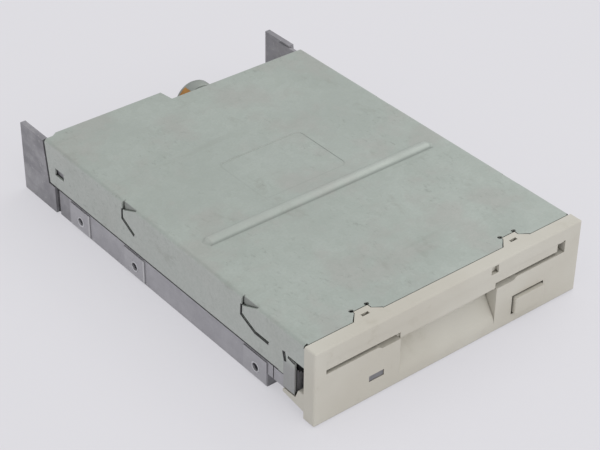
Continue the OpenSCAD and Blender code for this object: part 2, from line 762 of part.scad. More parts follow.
module front_bezel() {
    w = bezel_wall;
    slot_l = disk_x - slot_half;
    slot_r = disk_x + slot_half;
    lip_half = recess_half + lip_flare;
    color("#c8c4b8") place() difference() {
        union() {
            difference() {
                bezel_block();
                box(w - bezel_w / 2, bezel_w / 2 - w, w + 0.2, bezel_t + 1, w, bezel_h - w);
            }
            side_plate(recess_x - recess_half - recess_wall, recess_x + recess_half + recess_wall,
                recess_back);
            box(slot_l - 2.4, slot_r + 2.4, 1, bezel_t, slot_z - 1.2, slot_z);
            for (x = [slot_l - 2.4, slot_r]) box(x, x + 2.4, 1, bezel_t, slot_z - 1.2, slot_top + 1.2);
            for (x = [-tab_x, tab_x]) difference() {
                flat_plate(bezel_h - 1.2, bezel_h,
                    [for (p = tab_plan(x, 0)) [p[0], max(p[1], bezel_t - 1)]]);
                box(x - 1.8, x + 0.8, bezel_t + 0.5, bezel_t + 1.5, 0, bezel_h + 1);
            }
            bezel_wings();
        }
        box(slot_l, slot_r, -1, bezel_t + 5, slot_z, slot_top);
        side_plate(recess_x - recess_half, recess_x + recess_half, recess_side);
        box(recess_x - recess_half, recess_x + recess_half, -1, bezel_t + 5,
            recess_top - eps, slot_z + eps);
        front_plate(-1, lip_depth, [
            [recess_x - lip_half + 1.5, lip_low], [recess_x + lip_half - 1.5, lip_low],
            [recess_x + lip_half, slot_z + eps], [recess_x - lip_half, slot_z + eps]]);
        rod_x(door_y, door_axis_z, door_pin_r + bore_gap, slot_l - 1.5, slot_l + 1);
        rod_x(door_y, door_axis_z, door_pin_r + bore_gap, slot_r - 1, slot_r + 1.5);
        translate([button_x, 0, button_z]) box(-button_w / 2 - button_gap, button_w / 2 + button_gap,
            -1, bezel_t + 1, -button_h / 2 - button_gap, button_h / 2 + button_gap);
        box(lamp_x - lamp_w / 2, lamp_x + lamp_w / 2, -1, bezel_t,
            lamp_z - lamp_h / 2, lamp_z + lamp_h / 2);
        translate([recess_x + recess_half, 0, bezel_h - 0.7])
            box(-mark_side, 0, -1, mark_depth, -mark_side, 0);
    }
}

module led_lens() {
    g = 0.05;
    color("#7d7d80") place() {
        box(lamp_x - lamp_w / 2 + g, lamp_x + lamp_w / 2 - g, 0.2, bezel_t - 1.3,
            lamp_z - lamp_h / 2 + g, lamp_z + lamp_h / 2 - g);
        box(lamp_x - lamp_w / 2 - 0.6, lamp_x + lamp_w / 2 + 0.6, bezel_wall + 0.2, bezel_wall + 1.2,
            lamp_z - lamp_h / 2 - 0.5, lamp_z + lamp_h / 2 + 0.5);
    }
}

module indicator_led() {
    r = lamp_z - board_top - 0.05;
    color("PaleGreen") place() {
        rod_y(lamp_x, lamp_z, r, bezel_t + 0.4, bezel_t + 3.6);
        translate([lamp_x, bezel_t + 0.4, lamp_z]) sphere(r = r * 0.9);
        box(lamp_x - r, lamp_x + r, bezel_t + 3.6 - eps, bezel_t + 5, lamp_z - r, lamp_z + r);
        for (s = [-1, 1]) box(lamp_x + s * 1.27 - 0.25, lamp_x + s * 1.27 + 0.25, bezel_t + 5 - eps,
            deck_front + 5, lamp_z - r, lamp_z - r + 0.5);
    }
}

module spindle_bearing() {
    color("Goldenrod") place() difference() {
        union() {
            rod_z(disk_x, spindle_y, bearing_r, board_z - 1.6, deck_top + 0.3);
            rod_z(disk_x, spindle_y, bearing_r + 2.5, deck_under - 1, deck_under);
        }
        rod_z(disk_x, spindle_y, shaft_r + bore_gap, 0, deck_top + 1);
    }
}

motor_step_y = 26;
motor_half = 38;
motor_rear_y = board_front - 3;

module motor_board() {
    color("#3c5a46") place() difference() {
        flat_plate(board_z, board_top, [[-board_half, deck_front + 3], [board_half, deck_front + 3],
            [board_half, motor_step_y], [motor_half, motor_step_y + 2], [motor_half, motor_rear_y],
            [-motor_half, motor_rear_y], [-motor_half, motor_step_y + 2], [-board_half, motor_step_y]]);
        rod_z(disk_x, spindle_y, bearing_r + 0.2, 0, board_top + 1);
        for (p = motor_screw_at) rod_z(p[0], p[1], screw_shank_r + 0.3, 0, board_top + 1);
        box(button_x - button_w / 2 - 1.5, button_x + button_w / 2 + 1.5, 0,
            deck_front + over_press + slider_t + 2.4, 0, board_top + 1);
    }
}

stator_z = 2.3;
stator_t = 0.8;
magnet_in = rotor_r - 3.2;

// Stator plate: a hub, and poles that widen to shoes along the magnet
module stator_core() {
    shoe = 130 / stator_poles;
    r_out = magnet_in - 0.4;
    color("SlateGray") place() translate([disk_x, spindle_y, stator_z]) difference() {
        union() {
            cylinder(r = 9, h = stator_t);
            for (i = [0:stator_poles - 1]) rotate(360 * i / stator_poles) linear_extrude(stator_t)
                polygon(concat([[8, 1.1], [8, -1.1], [r_out - 1.5, -1.1]],
                    arc([0, 0], r_out - 1.2, -shoe, -shoe, 1), arc([0, 0], r_out, -shoe, shoe, 6),
                    arc([0, 0], r_out - 1.2, shoe, shoe, 1), [[r_out - 1.5, 1.1]]));
        }
        translate([0, 0, -1]) cylinder(r = bearing_r + 0.03, h = stator_t + 2);
    }
}

module stator_coils() {
    color("Peru") place() translate([disk_x, spindle_y, stator_z]) for (i = [0:stator_poles - 1])
        rotate(360 * i / stator_poles) difference() {
            translate([10, -1.9, -0.5]) cube([magnet_in - 12.4, 3.8, stator_t + 1]);
            translate([9, -1.1, 0]) cube([magnet_in, 2.2, stator_t]);
        }
}

// Pan-head screw driven upward, head below a board
module screw_up(x, y, z, shank) {
    difference() {
        union() {
            rod_z(x, y, screw_head_r, z - screw_head_h, z);
            rod_z(x, y, screw_shank_r, z - eps, z + shank);
        }
        for (a = [0, 90]) translate([x, y, z - screw_head_h]) rotate(a)
            cube([2.4, 0.5, 0.9], center = true);
    }
}

// Pan-head screw driven downward, head above a sheet
module screw_down(x, y, z, shank, r) {
    difference() {
        union() {
            rod_z(x, y, r + 0.8, z, z + 0.9);
            rod_z(x, y, r, z - shank, z + eps);
        }
        for (a = [0, 90]) translate([x, y, z + 0.9]) rotate(a) cube([1.8, 0.4, 0.7], center = true);
    }
}

module motor_screws() {
    color("Silver") place() for (p = motor_screw_at)
        screw_up(p[0], p[1], board_z, deck_under - board_z - 0.8);
}

module main_board() {
    color("#2f6b4a") place() difference() {
        box(-board_half, board_half, board_front, board_rear, board_z, board_top);
        for (p = board_screw_at) rod_z(p[0], p[1], screw_shank_r + 0.3, 0, board_top + 1);
        both_sides() for (y = bottom_holes)
            box(boss_in - 0.4, board_half + 1, y - boss_half - 0.4, y + boss_half + 0.4, 0, board_top + 1);
    }
}

// Parts soldered under the main board: a square controller with leads, and small parts
module board_chips() {
    half = chip_side / 2;
    lead = [for (i = [0:9]) (i - 4.5) * lead_pitch];
    color("#26262a") place() translate([0, board_front + chip_back, board_z]) {
        translate([-chip_x, 0, 0]) {
            box(-half, half, -half, half, -1.9, -0.2);
            for (m = [0:90:270], x = lead) rotate(m) box(x - 0.25, x + 0.25, half, half + 1.6, -0.3, 0);
        }
        box(chip_x - 5, chip_x + 2, -5, 1, -1.6, 0);
        box(chip_x + 7, chip_x + 18, 3, 7.5, -2.2, 0);
        for (i = [0:5]) translate([chip_x - 7 + i * 4, 12, 0]) box(0, 2, 0, 1.2, -0.7, 0);
        for (i = [0:4]) translate([-chip_x - 21 + i * 2.4, 10, 0]) box(0, 1.2, 0, 2, -0.7, 0);
    }
}

module board_screws() {
    color("Silver") place() for (p = board_screw_at)
        screw_up(p[0], p[1], board_z, deck_under - board_z - 0.8);
}

// Shrouded right-angle header, open to the rear, with a keying slot
module signal_header() {
    x0 = signal_x - signal_w / 2;
    x1 = signal_x + signal_w / 2;
    color("#2b2b2e") place() difference() {
        box(x0, x1, header_y0, header_y1 + 3, board_top, board_top + signal_h);
        box(x0 + 0.9, x1 - 0.9, header_y0 + 3, header_y1 + 4, board_top + 1, board_top + signal_h - 1);
        box(signal_x - 2.3, signal_x + 2.3, header_y0 + 3, header_y1 + 4,
            board_top + signal_h - 1.6, board_top + signal_h + 1);
        for (i = [0:signal_columns - 1], r = [0, 1])
            signal_pin_at(i, r, 0.02, header_y0 - 1);
    }
}

module signal_pin_at(i, r, grow, y0) {
    x = signal_x + (i - (signal_columns - 1) / 2) * signal_pitch;
    z = board_top + signal_h / 2 + (r - 0.5) * signal_pitch;
    h = 0.32 + grow;
    box(x - h, x + h, y0, header_y1 + 2.4, z - h, z + h);
}

module signal_pins() {
    color("Gold") place() for (i = [0:signal_columns - 1], r = [0, 1]) {
        x = signal_x + (i - (signal_columns - 1) / 2) * signal_pitch;
        z = board_top + signal_h / 2 + (r - 0.5) * signal_pitch;
        y0 = header_y0 - 1 - r * 2.2;
        signal_pin_at(i, r, 0, y0);
        box(x - 0.32, x + 0.32, y0, y0 + 0.64, board_top, z);
    }
}

module power_header() {
    x0 = power_x - power_w / 2;
    x1 = power_x + power_w / 2;
    color("#e4ded0") place() difference() {
        union() {
            box(x0, x1, header_y0, header_y0 + 2.4, board_top, board_top + 6.4);
            box(x0, x1, header_y0 + 2, header_y1 + 3, board_top, board_top + 1.2);
            for (x = [x0, x1 - 1.2])
                box(x, x + 1.2, header_y0 + 2, header_y1 + 3, board_top, board_top + 2.6);
        }
        for (i = [0:power_pins_n - 1]) power_pin_at(i, 0.02, header_y0 - 1);
    }
}

module power_pin_at(i, grow, y0) {
    x = power_x + (i - (power_pins_n - 1) / 2) * power_pitch;
    h = 0.4 + grow;
    box(x - h, x + h, y0, header_y1 + 1.5, board_top + 3.6 - h, board_top + 3.6 + h);
}

module power_pins() {
    color("Gold") place() for (i = [0:power_pins_n - 1]) {
        x = power_x + (i - (power_pins_n - 1) / 2) * power_pitch;
        power_pin_at(i, 0, header_y0 - 1.4);
        box(x - 0.4, x + 0.4, header_y0 - 1.4, header_y0 - 0.6, board_top, board_top + 3.6);
    }
}

module stepper_motor() {
    color("#b9bdb8") place() difference() {
        union() {
            rod_y(screw_abs, screw_z, stepper_r, stepper_front, stepper_rear - 0.8);
            rod_y(screw_abs, screw_z, stepper_r - 0.5, stepper_rear - 0.9, stepper_rear);
            rod_y(screw_abs, screw_z, 2.6, stepper_rear - eps, stepper_rear + 0.7);
            rod_y(screw_abs, screw_z, 2.3, stepper_front - 0.9, stepper_front + eps);
        }
        rod_y(screw_abs, screw_z, screw_r + bore_gap, stepper_front - 2, stepper_rear - 2);
        for (y = [stepper_front + 5, stepper_front + 5.5]) difference() {
            rod_y(screw_abs, screw_z, stepper_r + 1, y, y + 0.25);
            rod_y(screw_abs, screw_z, stepper_r - 0.25, y - 1, y + 1);
        }
    }
}

// Bent sheet that carries the motor at one end and the screw's far bearing at the other
module stepper_bracket() {
    x0 = disk_x + bracket_in;
    x1 = disk_x + screw_x + bracket_half;
    color("#b0b4b0") place() difference() {
        union() {
            box(x0, x1, screw_front - 1.2, bracket_rear, deck_top, deck_top + 0.6);
            box(x0 - 2.4, x1, bracket_rear - bracket_t, bracket_rear, deck_top, screw_z + 5.5);
            front_plate(screw_front - 1.2, screw_front - 0.2, [
                [x0, deck_top], [x1 - 1, deck_top], [x1 - 1, screw_z + 3],
                [x0 - 1.5, screw_z + 3], [x0 - 1.5, screw_z - 0.6], [x0, screw_z - 1.5]]);
        }
        rod_y(screw_abs, screw_z, 2.4, bracket_rear - 3, bracket_rear + 1);
        rod_y(screw_abs, screw_z, screw_r - 0.5 + bore_gap, screw_front - 3, screw_front + 2);
        for (y = bracket_screw_y)
            rod_z(bracket_screw_x, y, small_screw_r + 0.1, deck_top - 1, deck_top + 2);
    }
}

module stepper_screws() {
    color("Silver") place() for (y = bracket_screw_y)
        screw_down(bracket_screw_x, y, deck_top + 0.6, 2.2, small_screw_r);
}

// Amber flexible circuit from the motor's terminals down to the main board
module stepper_flex() {
    t = 0.2;
    x = screw_abs - stepper_r - 0.15;
    y0 = stepper_rear - 5.5;
    y1 = stepper_rear - 1.6;
    color("#b07a2a") place() {
        front_plate(y0, y1, concat(
            [for (p = arc([screw_abs, screw_z], stepper_r + 0.35, 120, 180)) p],
            [[x - 0.2, board_top], [x, board_top]],
            [for (p = arc([screw_abs, screw_z], stepper_r + 0.15, 180, 120)) p]));
        box(x - 0.9, x + t, y0, y1, board_top, board_top + 1.4);
    }
}

module guide_rods() {
    color("Gainsboro") place() for (s = [-1, 1])
        rod_y(disk_x + s * rod_half, rod_z, rod_r - 0.01, rod_front + 0.1, rod_rear - 0.1);
}

module rod_clamps() {
    z = rod_z + rod_r;
    color("#a9ada9") place() for (s = [-1, 1], y = [rod_front, window_rear]) difference() {
        translate([disk_x + s * rod_half, 0, 0]) mirror([s > 0 ? 1 : 0, 0, 0]) union() {
            box(-2, 2, y + 0.3, y + 3.2, z, z + 0.5);
            for (m = [0, 1]) mirror([m, 0, 0]) box(1.6, 2, y + 0.3, y + 3.2, deck_top, z + 0.1);
            box(1.6, 3.9, y + 0.3, y + 3.2, deck_top, deck_top + 0.4);
        }
        rod_z(disk_x + s * (rod_half - 3), y + 1.75, 0.5, deck_top - 1, deck_top + 2);
    }
}

module clamp_screws() {
    color("Silver") place() for (s = [-1, 1], y = [rod_front, window_rear])
        rod_z(disk_x + s * (rod_half - 3), y + 1.75, 0.8, deck_top + 0.4, deck_top + 0.9);
}

module track_zero_sensor() {
    x = disk_x - window_left;
    y = car_rear - 8;
    color("#303034") place() difference() {
        box(x - 5, x - 0.4, y - 3, y + 3, deck_top, deck_top + 5);
        box(x - 3, x + 1, y - 4, y + 4, deck_top + 1.8, deck_top + 3.4);
    }
}

plunger_places = [4 - disk_w / 2, 12 - disk_w / 2, disk_w / 2 - 4];

module switch_bodies() {
    color("#3a3a3e") place() for (x = plunger_places) difference() {
        box(disk_x + x - 2.6, disk_x + x + 2.6, plunger_y - 2.6, plunger_y + 2.6, board_top, switch_top);
        rod_z(disk_x + x, plunger_y, plunger_r + bore_gap, board_top + 0.6, switch_top + 1);
    }
}

module plunger(x) {
    rod_z(disk_x + x, plunger_y, plunger_r, board_top + 1.8, plunger_top - 0.5);
    translate([disk_x + x, plunger_y, plunger_top - 0.5]) cylinder(r1 = plunger_r, r2 = 0.5, h = 0.5);
}

module write_protect_plunger() {
    color("WhiteSmoke") place() plunger(plunger_places[0]);
}

module disk_in_plunger() {
    color("WhiteSmoke") place() plunger(plunger_places[1]);
}

module density_plunger() {
    color("WhiteSmoke") place() plunger(plunger_places[2]);
}

module lever_post() {
    top = lever_z + lever_t + lever_coil_len + 1.2;
    color("Silver") place() {
        rod_z(lever_x, lever_y, lever_post_r + 1.2, deck_top, lever_z - 0.1);
        rod_z(lever_x, lever_y, lever_post_r, deck_top, top);
        rod_z(lever_x, lever_y, lever_post_r + 1.4, top - eps, top + 0.6);
    }
}

// Lever that the disk's leading edge turns: one arm lies in the bay, the other holds the slider
module latch_lever() {
    x = lever_x;
    y = lever_y;
    color("#8f948f") place() difference() {
        union() {
            rod_z(x, y, lever_hub_r, lever_z, lever_z + lever_t);
            flat_plate(lever_z, lever_z + lever_t, [
                [x + 2.2, y - 2.8], [x + finger_x - 1, y + finger_y - 0.4],
                [x + finger_x, y + finger_y - 1], [x + finger_x + 1, y + finger_y + 0.2],
                [x + 3.2, y + 1.2]]);
            rod_z(x + finger_x, y + finger_y, finger_r, lever_z, slot_z + 1.8);
            flat_plate(lever_z, lever_z + lever_t, [
                [x - 2.9, y - 1.5], [x - 2.9, y - hook_reach], [x - 4.7, y - hook_reach],
                [x - 4.7, y - hook_reach - 1.2], [x - 1.3, y - hook_reach - 1.4], [x + 0.6, y - 3]]);
            rod_z(x + 3.5, y - 2.4, 0.6, lever_z, lever_z + lever_t + 1.2);
        }
        rod_z(x, y, lever_post_r + bore_gap, lever_z - 1, lever_z + lever_t + 1);
    }
}

module lever_spring() {
    z0 = lever_z + lever_t + 0.5;
    color("LightSteelBlue") place()
        wire(coil_z(lever_x, lever_y, lever_post_r + 0.7, z0, z0 + lever_coil_len, lever_coil_turns, 3.4),
            lever_wire_r, [0, 0, 1]);
}

module slider_spring(s) {
    wire(coil_y(disk_x + s * spring_x, spring_z, spring_r, spring_y0, spring_y1, spring_turns, s * -2.6),
        spring_wire_r, [0, 1, 0]);
}

module eject_spring_left() {
    color("LightSteelBlue") place() slider_spring(-1);
}

module eject_spring_right() {
    color("LightSteelBlue") place() slider_spring(1);
}

// Leaf behind the bezel that swings the door shut
module door_spring() {
    t = 0.2;
    y0 = bezel_wall + 0.2;
    x1 = door_right - 1;
    back = door_set + door_t + 0.05;
    color("LightSteelBlue") place() {
        box(x1 - 9, x1, y0, y0 + t, slot_top + 0.5, slot_top + 2.2);
        side_plate(x1 - 3, x1, [[y0, slot_top + 0.6], [y0 + t, slot_top + 0.6], [y0 + t, slot_top - 0.3],
            [back + t, door_low + 0.8], [back, door_low + 0.8], [y0, slot_top - 0.3]]);
    }
}

// Inclined slot that drives a guide pin, from fully pressed to loaded
module ramp_slot(x0, x1, y) {
    slope = load_drop / eject_travel;
    r = guide_pin_r + 0.15;
    a = [y - over_press, guide_pin_z + over_press * slope];
    b = [y + eject_travel, guide_pin_z - load_drop];
    along = unit(b - a);
    side = [-along[1], along[0]] * r;
    side_plate(x0, x1, [a + side, b + side, b - side, a - side]);
    for (p = [a, b]) rod_x(p[0], p[1], r, x0, x1);
}

slider_bar_y = 27;
slider_bar_w = 8;
slider_arm_front = 19;
slider_rear = holder_rear - 2;
lug_y = lever_y - hook_reach + 1;

module slider_side(s) {
    m = s < 0 ? 1 : 0;
    translate([disk_x, 0, 0]) mirror([m, 0, 0]) difference() {
        union() {
            box(strip_in, arm_out, slider_bar_y, slider_rear, slider_z, slider_top);
            box(arm_in, arm_out, slider_arm_front, slider_rear, slider_z, guide_pin_z + 2.6);
            box(spring_x - 1, strip_in + eps, spring_y1 - 1.6, spring_y1 + 1.6, slider_z, slider_top);
            rod_z(spring_x + spring_r + 2.4, spring_y1, 0.9, slider_top - eps, spring_z + spring_r + 0.3);
        }
        for (y = pin_places) ramp_slot(arm_in - 1, arm_out + 1, y);
        box(spring_x - 2, spring_x + spring_r + spring_wire_r + 0.4, spring_y1 - 2, spring_y1 + 3,
            slider_z - 1, slider_top + 3);
    }
}

// Sheet slider: two side arms with ramps, a cross bar, the button's tongue and the latch lug
module eject_slider() {
    color("#b4b8b4") place() {
        slider_side(-1);
        slider_side(1);
        box(disk_x - strip_in - eps, disk_x + strip_in + eps, slider_bar_y, slider_bar_y + slider_bar_w,
            slider_z, slider_top);
        box(button_x - 5, button_x + 5, deck_front, slider_bar_y + eps, slider_z, slider_top);
        box(button_x - 5, button_x + 5, deck_front, deck_front + slider_t, button_z - 2, slider_top);
        box(disk_x - strip_in - 2.6, disk_x - strip_in, slider_rear - eps, lug_y + 1, slider_z, slider_top);
        box(disk_x - strip_in - 2.6, disk_x - strip_in, lug_y, lug_y + 1, slider_z, lever_z + lever_t);
    }
}

module eject_button() {
    x0 = button_x - button_w / 2;
    x1 = button_x + button_w / 2;
    z0 = button_z - button_h / 2;
    z1 = button_z + button_h / 2;
    r = 0.5;
    color("#cbc7bb") place() {
        intersection() {
            front_plate(-button_proud, bezel_t + 0.3, round_rect(x0, x1, z0, z1, r));
            flat_plate(0, bezel_h, concat([[x1, bezel_t + 0.3], [x0, bezel_t + 0.3]],
                arc([x0 + r, r - button_proud], r, 180, 270),
                arc([x1 - r, r - button_proud], r, 270, 360)));
        }
        box(button_x - 3, button_x + 3, bezel_t + 0.3 - eps, deck_front, button_z - 1.6, button_z + 1.6);
    }
}

module disk_holder() {
    w = holder_out;
    color("#aab0b2") place() translate([disk_x, 0, 0]) difference() {
        box(-w, w, holder_front, holder_rear, holder_under, holder_top);
        box(-holder_in, holder_in, holder_front - 1, holder_rear + 1, slot_z, slot_top);
        box(lip_w - holder_in, holder_in - lip_w, holder_front - 1, holder_rear + 1,
            holder_under - 1, slot_z + eps);
        box(-w - 1, w + 1, holder_front - 1, plunger_y + 5, holder_under - 1, slot_z + eps);
        box(-arm_half - 4, arm_half + 4, window_front - 1, holder_rear + 1, slot_top - 1, holder_top + 1);
        for (s = [-1, 1]) translate([s * leaf_x, leaf_y, 0])
            box(-leaf_half, leaf_half, -leaf_run, leaf_run, slot_top - 1, holder_top + 1);
        rod_z(0, spindle_y, 9, slot_top - 1, holder_top + 1);
    }
}

module holder_pins() {
    color("Silver") place() translate([disk_x, 0, 0]) for (s = [0, 1], y = pin_places)
        mirror([s, 0, 0]) rod_x(y, guide_pin_z, guide_pin_r, holder_out, wall_in + 0.9);
}

// Leaf springs over the windows of the holder, which press the loaded disk down
module pressure_springs() {
    t = 0.25;
    w = leaf_half / 4;
    color("#9aa3a8") place() for (s = [-1, 1]) translate([disk_x + s * leaf_x, leaf_y, 0]) {
        box(-leaf_half - 2.5, leaf_half + 2.5, leaf_run + 0.6, leaf_run + 4, holder_top, holder_top + t);
        box(-w, w, 6 - leaf_run, leaf_run + 1, holder_top, holder_top + t);
        side_plate(-w, w, [[6 - leaf_run, holder_top], [6 - leaf_run, holder_top + t],
            [2 - leaf_run, slot_top + 0.2 + t], [2 - leaf_run, slot_top + 0.2]]);
    }
}

// Door in the slot, with a deeper tongue over the finger recess and a pivot pin at each end
module slot_door() {
    t = door_t;
    y0 = door_set;
    color("#c6c2b6") place() {
        side_plate(door_left, door_right, concat(
            [[y0, door_low + 0.3], [y0 + 0.3, door_low], [y0 + t, door_low]],
            arc([door_y, door_axis_z], t / 2, 0, 180, 10)));
        side_plate(recess_x - recess_half + trim_gap, recess_x + recess_half - trim_gap, [
            [y0, tongue_z + 0.4], [y0 + 0.4, tongue_z], [y0 + t, tongue_z],
            [y0 + t, door_low + 1], [y0, door_low + 1]]);
        rod_x(door_y, door_axis_z, door_pin_r, door_right - eps, disk_x + slot_half + 1.2);
        rod_x(door_y, door_axis_z, door_pin_r, disk_x - slot_half - 1.2, door_left + eps);
    }
}

rotor_z = 0.9;
rotor_rim_top = board_z - 0.4;

module spindle_rotor() {
    color("#b5b9bd") place() translate([disk_x, spindle_y, 0]) difference() {
        rotate_extrude() polygon([
            [shaft_r + 0.02, rotor_z], [rotor_r - 1.2, rotor_z], [rotor_r, rotor_z + 0.8],
            [rotor_r, rotor_rim_top], [rotor_r - 0.9, rotor_rim_top], [rotor_r - 0.9, rotor_z + 0.7],
            [4.4, rotor_z + 0.7], [4.4, rotor_z + 1.3], [shaft_r + 0.02, rotor_z + 1.3]]);
        for (i = [0:5]) rotate(60 * i) translate([13, 0, 0]) cylinder(r = 2, h = 4, center = true);
    }
}

module rotor_magnet() {
    color("#4a4744") place() translate([disk_x, spindle_y, rotor_z + 0.8]) difference() {
        cylinder(r = rotor_r - 0.9, h = rotor_rim_top - rotor_z - 1);
        translate([0, 0, -1]) cylinder(r = magnet_in, h = 5);
    }
}

hub_z = loaded_z - 1.7;
hub_top = loaded_z + 0.1;

module spindle_shaft() {
    color("Gainsboro") place() {
        rod_z(disk_x, spindle_y, shaft_r, rotor_z, head_top - 0.6);
        translate([disk_x, spindle_y, head_top - 0.6]) cylinder(r1 = shaft_r, r2 = shaft_r - 0.5, h = 0.5);
    }
}

module drive_hub() {
    color("#c2c4c6") place() translate([disk_x, spindle_y, 0]) difference() {
        rotate_extrude() polygon([
            [shaft_r + 0.02, hub_z], [6, hub_z], [6, hub_z + 0.4], [hub_r, hub_z + 0.4],
            [hub_r, hub_top - 0.3], [hub_r - 0.3, hub_top], [shaft_r + 0.02, hub_top]]);
        translate([drive_pin_pitch, 0, hub_z - 1]) cylinder(r = 1.2 + bore_gap, h = 6);
    }
}

// Drive pin that sinks into the hub until it finds the slot in the disk
module drive_pin() {
    color("Gainsboro") place() translate([disk_x + drive_pin_pitch, spindle_y, 0]) {
        rod_z(0, 0, 1.2, hub_z + 0.5, hub_top + 1);
        translate([0, 0, hub_top + 1]) cylinder(r1 = 1.2, r2 = 0.7, h = 0.5);
    }
}

// Carriage: body on two rods, a tower at the rear for the upper arm's pivot
module head_carriage() {
    c = disk_x;
    color("#3b3d42") place() difference() {
        union() {
            box(c - 6, c + 6, car_front, car_rear, car_z0, car_z1);
            box(c - rod_half, c + rod_half, head_y + 4, car_rear, car_z0, car_z1 - 0.6);
            for (s = [-1, 1]) rod_y(c + s * rod_half, rod_z, bush_r, head_y + 6, car_rear);
            box(c - 4, c + 4, head_y - 4, head_y + 4, car_z1 - eps, head_top - 0.3);
            for (m = [0, 1]) translate([c, 0, 0]) mirror([m, 0, 0])
                box(arm_half + 0.4, tower_half, arm_hinge_y - 3, car_rear, car_z1 - 1, arm_hinge_z + 1.8);
            box(c - tower_half, c + tower_half, car_rear - 1.2, car_rear, car_z1 - 1, arm_hinge_z - 3);
            translate([c - window_left, car_rear - 10, deck_top]) {
                box(0.2, window_left - rod_half, 0, 4, 0.4, 1.2);
                box(-1.6, 0.4, 0, 4, 2.3, 2.9);
                box(-0.2, 0.4, 0, 4, 0.4, 2.9);
            }
        }
        for (s = [-1, 1]) rod_y(c + s * rod_half, rod_z, rod_r + bore_gap, car_front - 1, car_rear + 1);
        rod_x(arm_hinge_y, arm_hinge_z, arm_pin_r + bore_gap, c - tower_half - 1, c + tower_half + 1);
        box(c - 4, c + 4, car_rear - 23, car_rear - 4, car_z0 - 1, car_z1 - 1.6);
        box(c + rod_half - 1.5, c + rod_half + 3,
            follower_y - follower_half - 0.1, follower_y + follower_half + 0.1, follower_seat, screw_z);
    }
}

module lower_head() {
    color("#4b4e57") place() difference() {
        box(disk_x - 2.2, disk_x + 2.2, head_y - 2.2, head_y + 2.2, head_top - 0.3, head_top);
        box(disk_x - 0.3, disk_x + 0.3, head_y - 3, head_y + 3, head_top - 0.1, head_top + 1);
    }
}

// Sprung block beside the screw, with the tooth that rides in its groove
module screw_follower() {
    x = disk_x + rod_half;
    y = follower_y;
    color("#d8d2c2") place() {
        box(x - 1.4, x + 0.9, y - follower_half, y + follower_half, follower_seat, screw_z + 1.2);
        box(x + 0.8, disk_x + screw_x - screw_r - 0.25, y - 0.6, y + 0.6, screw_z - 0.6, screw_z + 0.6);
    }
}

// Flexible circuit of the heads, looped from the carriage down to the main board
module head_flex() {
    t = 0.15;
    w = 3.5;
    y = car_rear - flex_reach;
    r = (car_z1 - 1.6 - board_top) / 2 - 0.4;
    z = board_top + 0.2 + r;
    color("#b5822f") place() translate([disk_x, 0, 0]) difference() {
        side_plate(-w, w, concat([[y + 9, board_top], [y, board_top]], arc([y, z], r + t, 270, 90, 12),
            [[y + 6, z + r + t], [y + 6, z + r]], arc([y, z], r, 90, 270, 12), [[y + 9, z - r]]));
    }
}

module upper_arm() {
    c = disk_x;
    y0 = head_y - 5.5;
    color("#c9c5b4") place() difference() {
        union() {
            flat_plate(arm_z0, arm_z0 + arm_t, [
                [c - 4, y0], [c + 4, y0], [c + arm_half, head_y + 6], [c + arm_half, arm_hinge_y - 1],
                [c - arm_half, arm_hinge_y - 1], [c - arm_half, head_y + 6]]);
            side_plate(c - arm_half, c + arm_half, concat(
                [[arm_hinge_y - 9, arm_z0], [arm_hinge_y - 9, arm_z0 + arm_t],
                    [arm_hinge_y - 1, arm_z0 + arm_t]],
                arc([arm_hinge_y, arm_hinge_z], 1.6, 0, -180, 10)));
            for (s = [-1, 1]) translate([c + s * (arm_half - 0.5), 0, arm_z0 + arm_t])
                box(-0.5, 0.5, head_y + 6, arm_hinge_y - 2, -eps, 0.6);
            rod_x(arm_hinge_y, arm_hinge_z, arm_pin_r, c - tower_half, c + tower_half);
        }
        box(c - 2.5, c + 2.5, head_y + arm_len / 4, head_y + arm_len / 2, arm_z0 - 1, arm_z0 + arm_t + 1);
    }
}

module upper_head() {
    color("#4b4e57") place() {
        box(disk_x - 3.4, disk_x + 3.4, head_y - 3.4, head_y + 3.4, arm_z0 - 0.3, arm_z0);
        box(disk_x - 2.2, disk_x + 2.2, head_y - 2.2, head_y + 2.2, upper_head_z, arm_z0 - 0.3 + eps);
    }
}

// Leaf that loads the upper arm, from the tower to the arm's middle
module arm_spring() {
    t = 0.2;
    z = arm_hinge_z - 3;
    color("#9aa3a8") place() side_plate(disk_x - 2, disk_x + 2, [
        [car_rear + 0.2, z - 3], [car_rear + 0.2, arm_z0 + 2.2], [arm_hinge_y - 12, arm_z0 + arm_t + t],
        [arm_hinge_y - 12, arm_z0 + arm_t], [car_rear, arm_z0 + 2.2 - t], [car_rear, z - 3]]);
}

module lead_screw() {
    color("Gainsboro") place() {
        rod_y(screw_abs, screw_z, screw_r, screw_front, stepper_rear - 3);
        rod_y(screw_abs, screw_z, screw_r - 0.5, screw_front - 1.4, screw_front + eps);
    }
}

chassis();
top_cover();
front_bezel();
led_lens();
indicator_led();
spindle_bearing();
motor_board();
stator_core();
stator_coils();
motor_screws();
main_board();
board_chips();
board_screws();
signal_header();
signal_pins();
power_header();
power_pins();
stepper_motor();
stepper_bracket();
stepper_screws();
stepper_flex();
guide_rods();
rod_clamps();
clamp_screws();
track_zero_sensor();
switch_bodies();
lever_post();
eject_spring_left();
eject_spring_right();
door_spring();
lever_spring();
eject_slider();
eject_button();
disk_holder();
holder_pins();
pressure_springs();
slot_door();
latch_lever();
spindle_rotor();
rotor_magnet();
spindle_shaft();
drive_hub();
drive_pin();
head_carriage();
lower_head();
screw_follower();
head_flex();
upper_arm();
upper_head();
arm_spring();
lead_screw();
write_protect_plunger();
density_plunger();
disk_in_plunger();
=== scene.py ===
"""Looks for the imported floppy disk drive: materials, small trim, stage, light and camera."""

import math

import bmesh
import bpy
from mathutils import Matrix, Vector


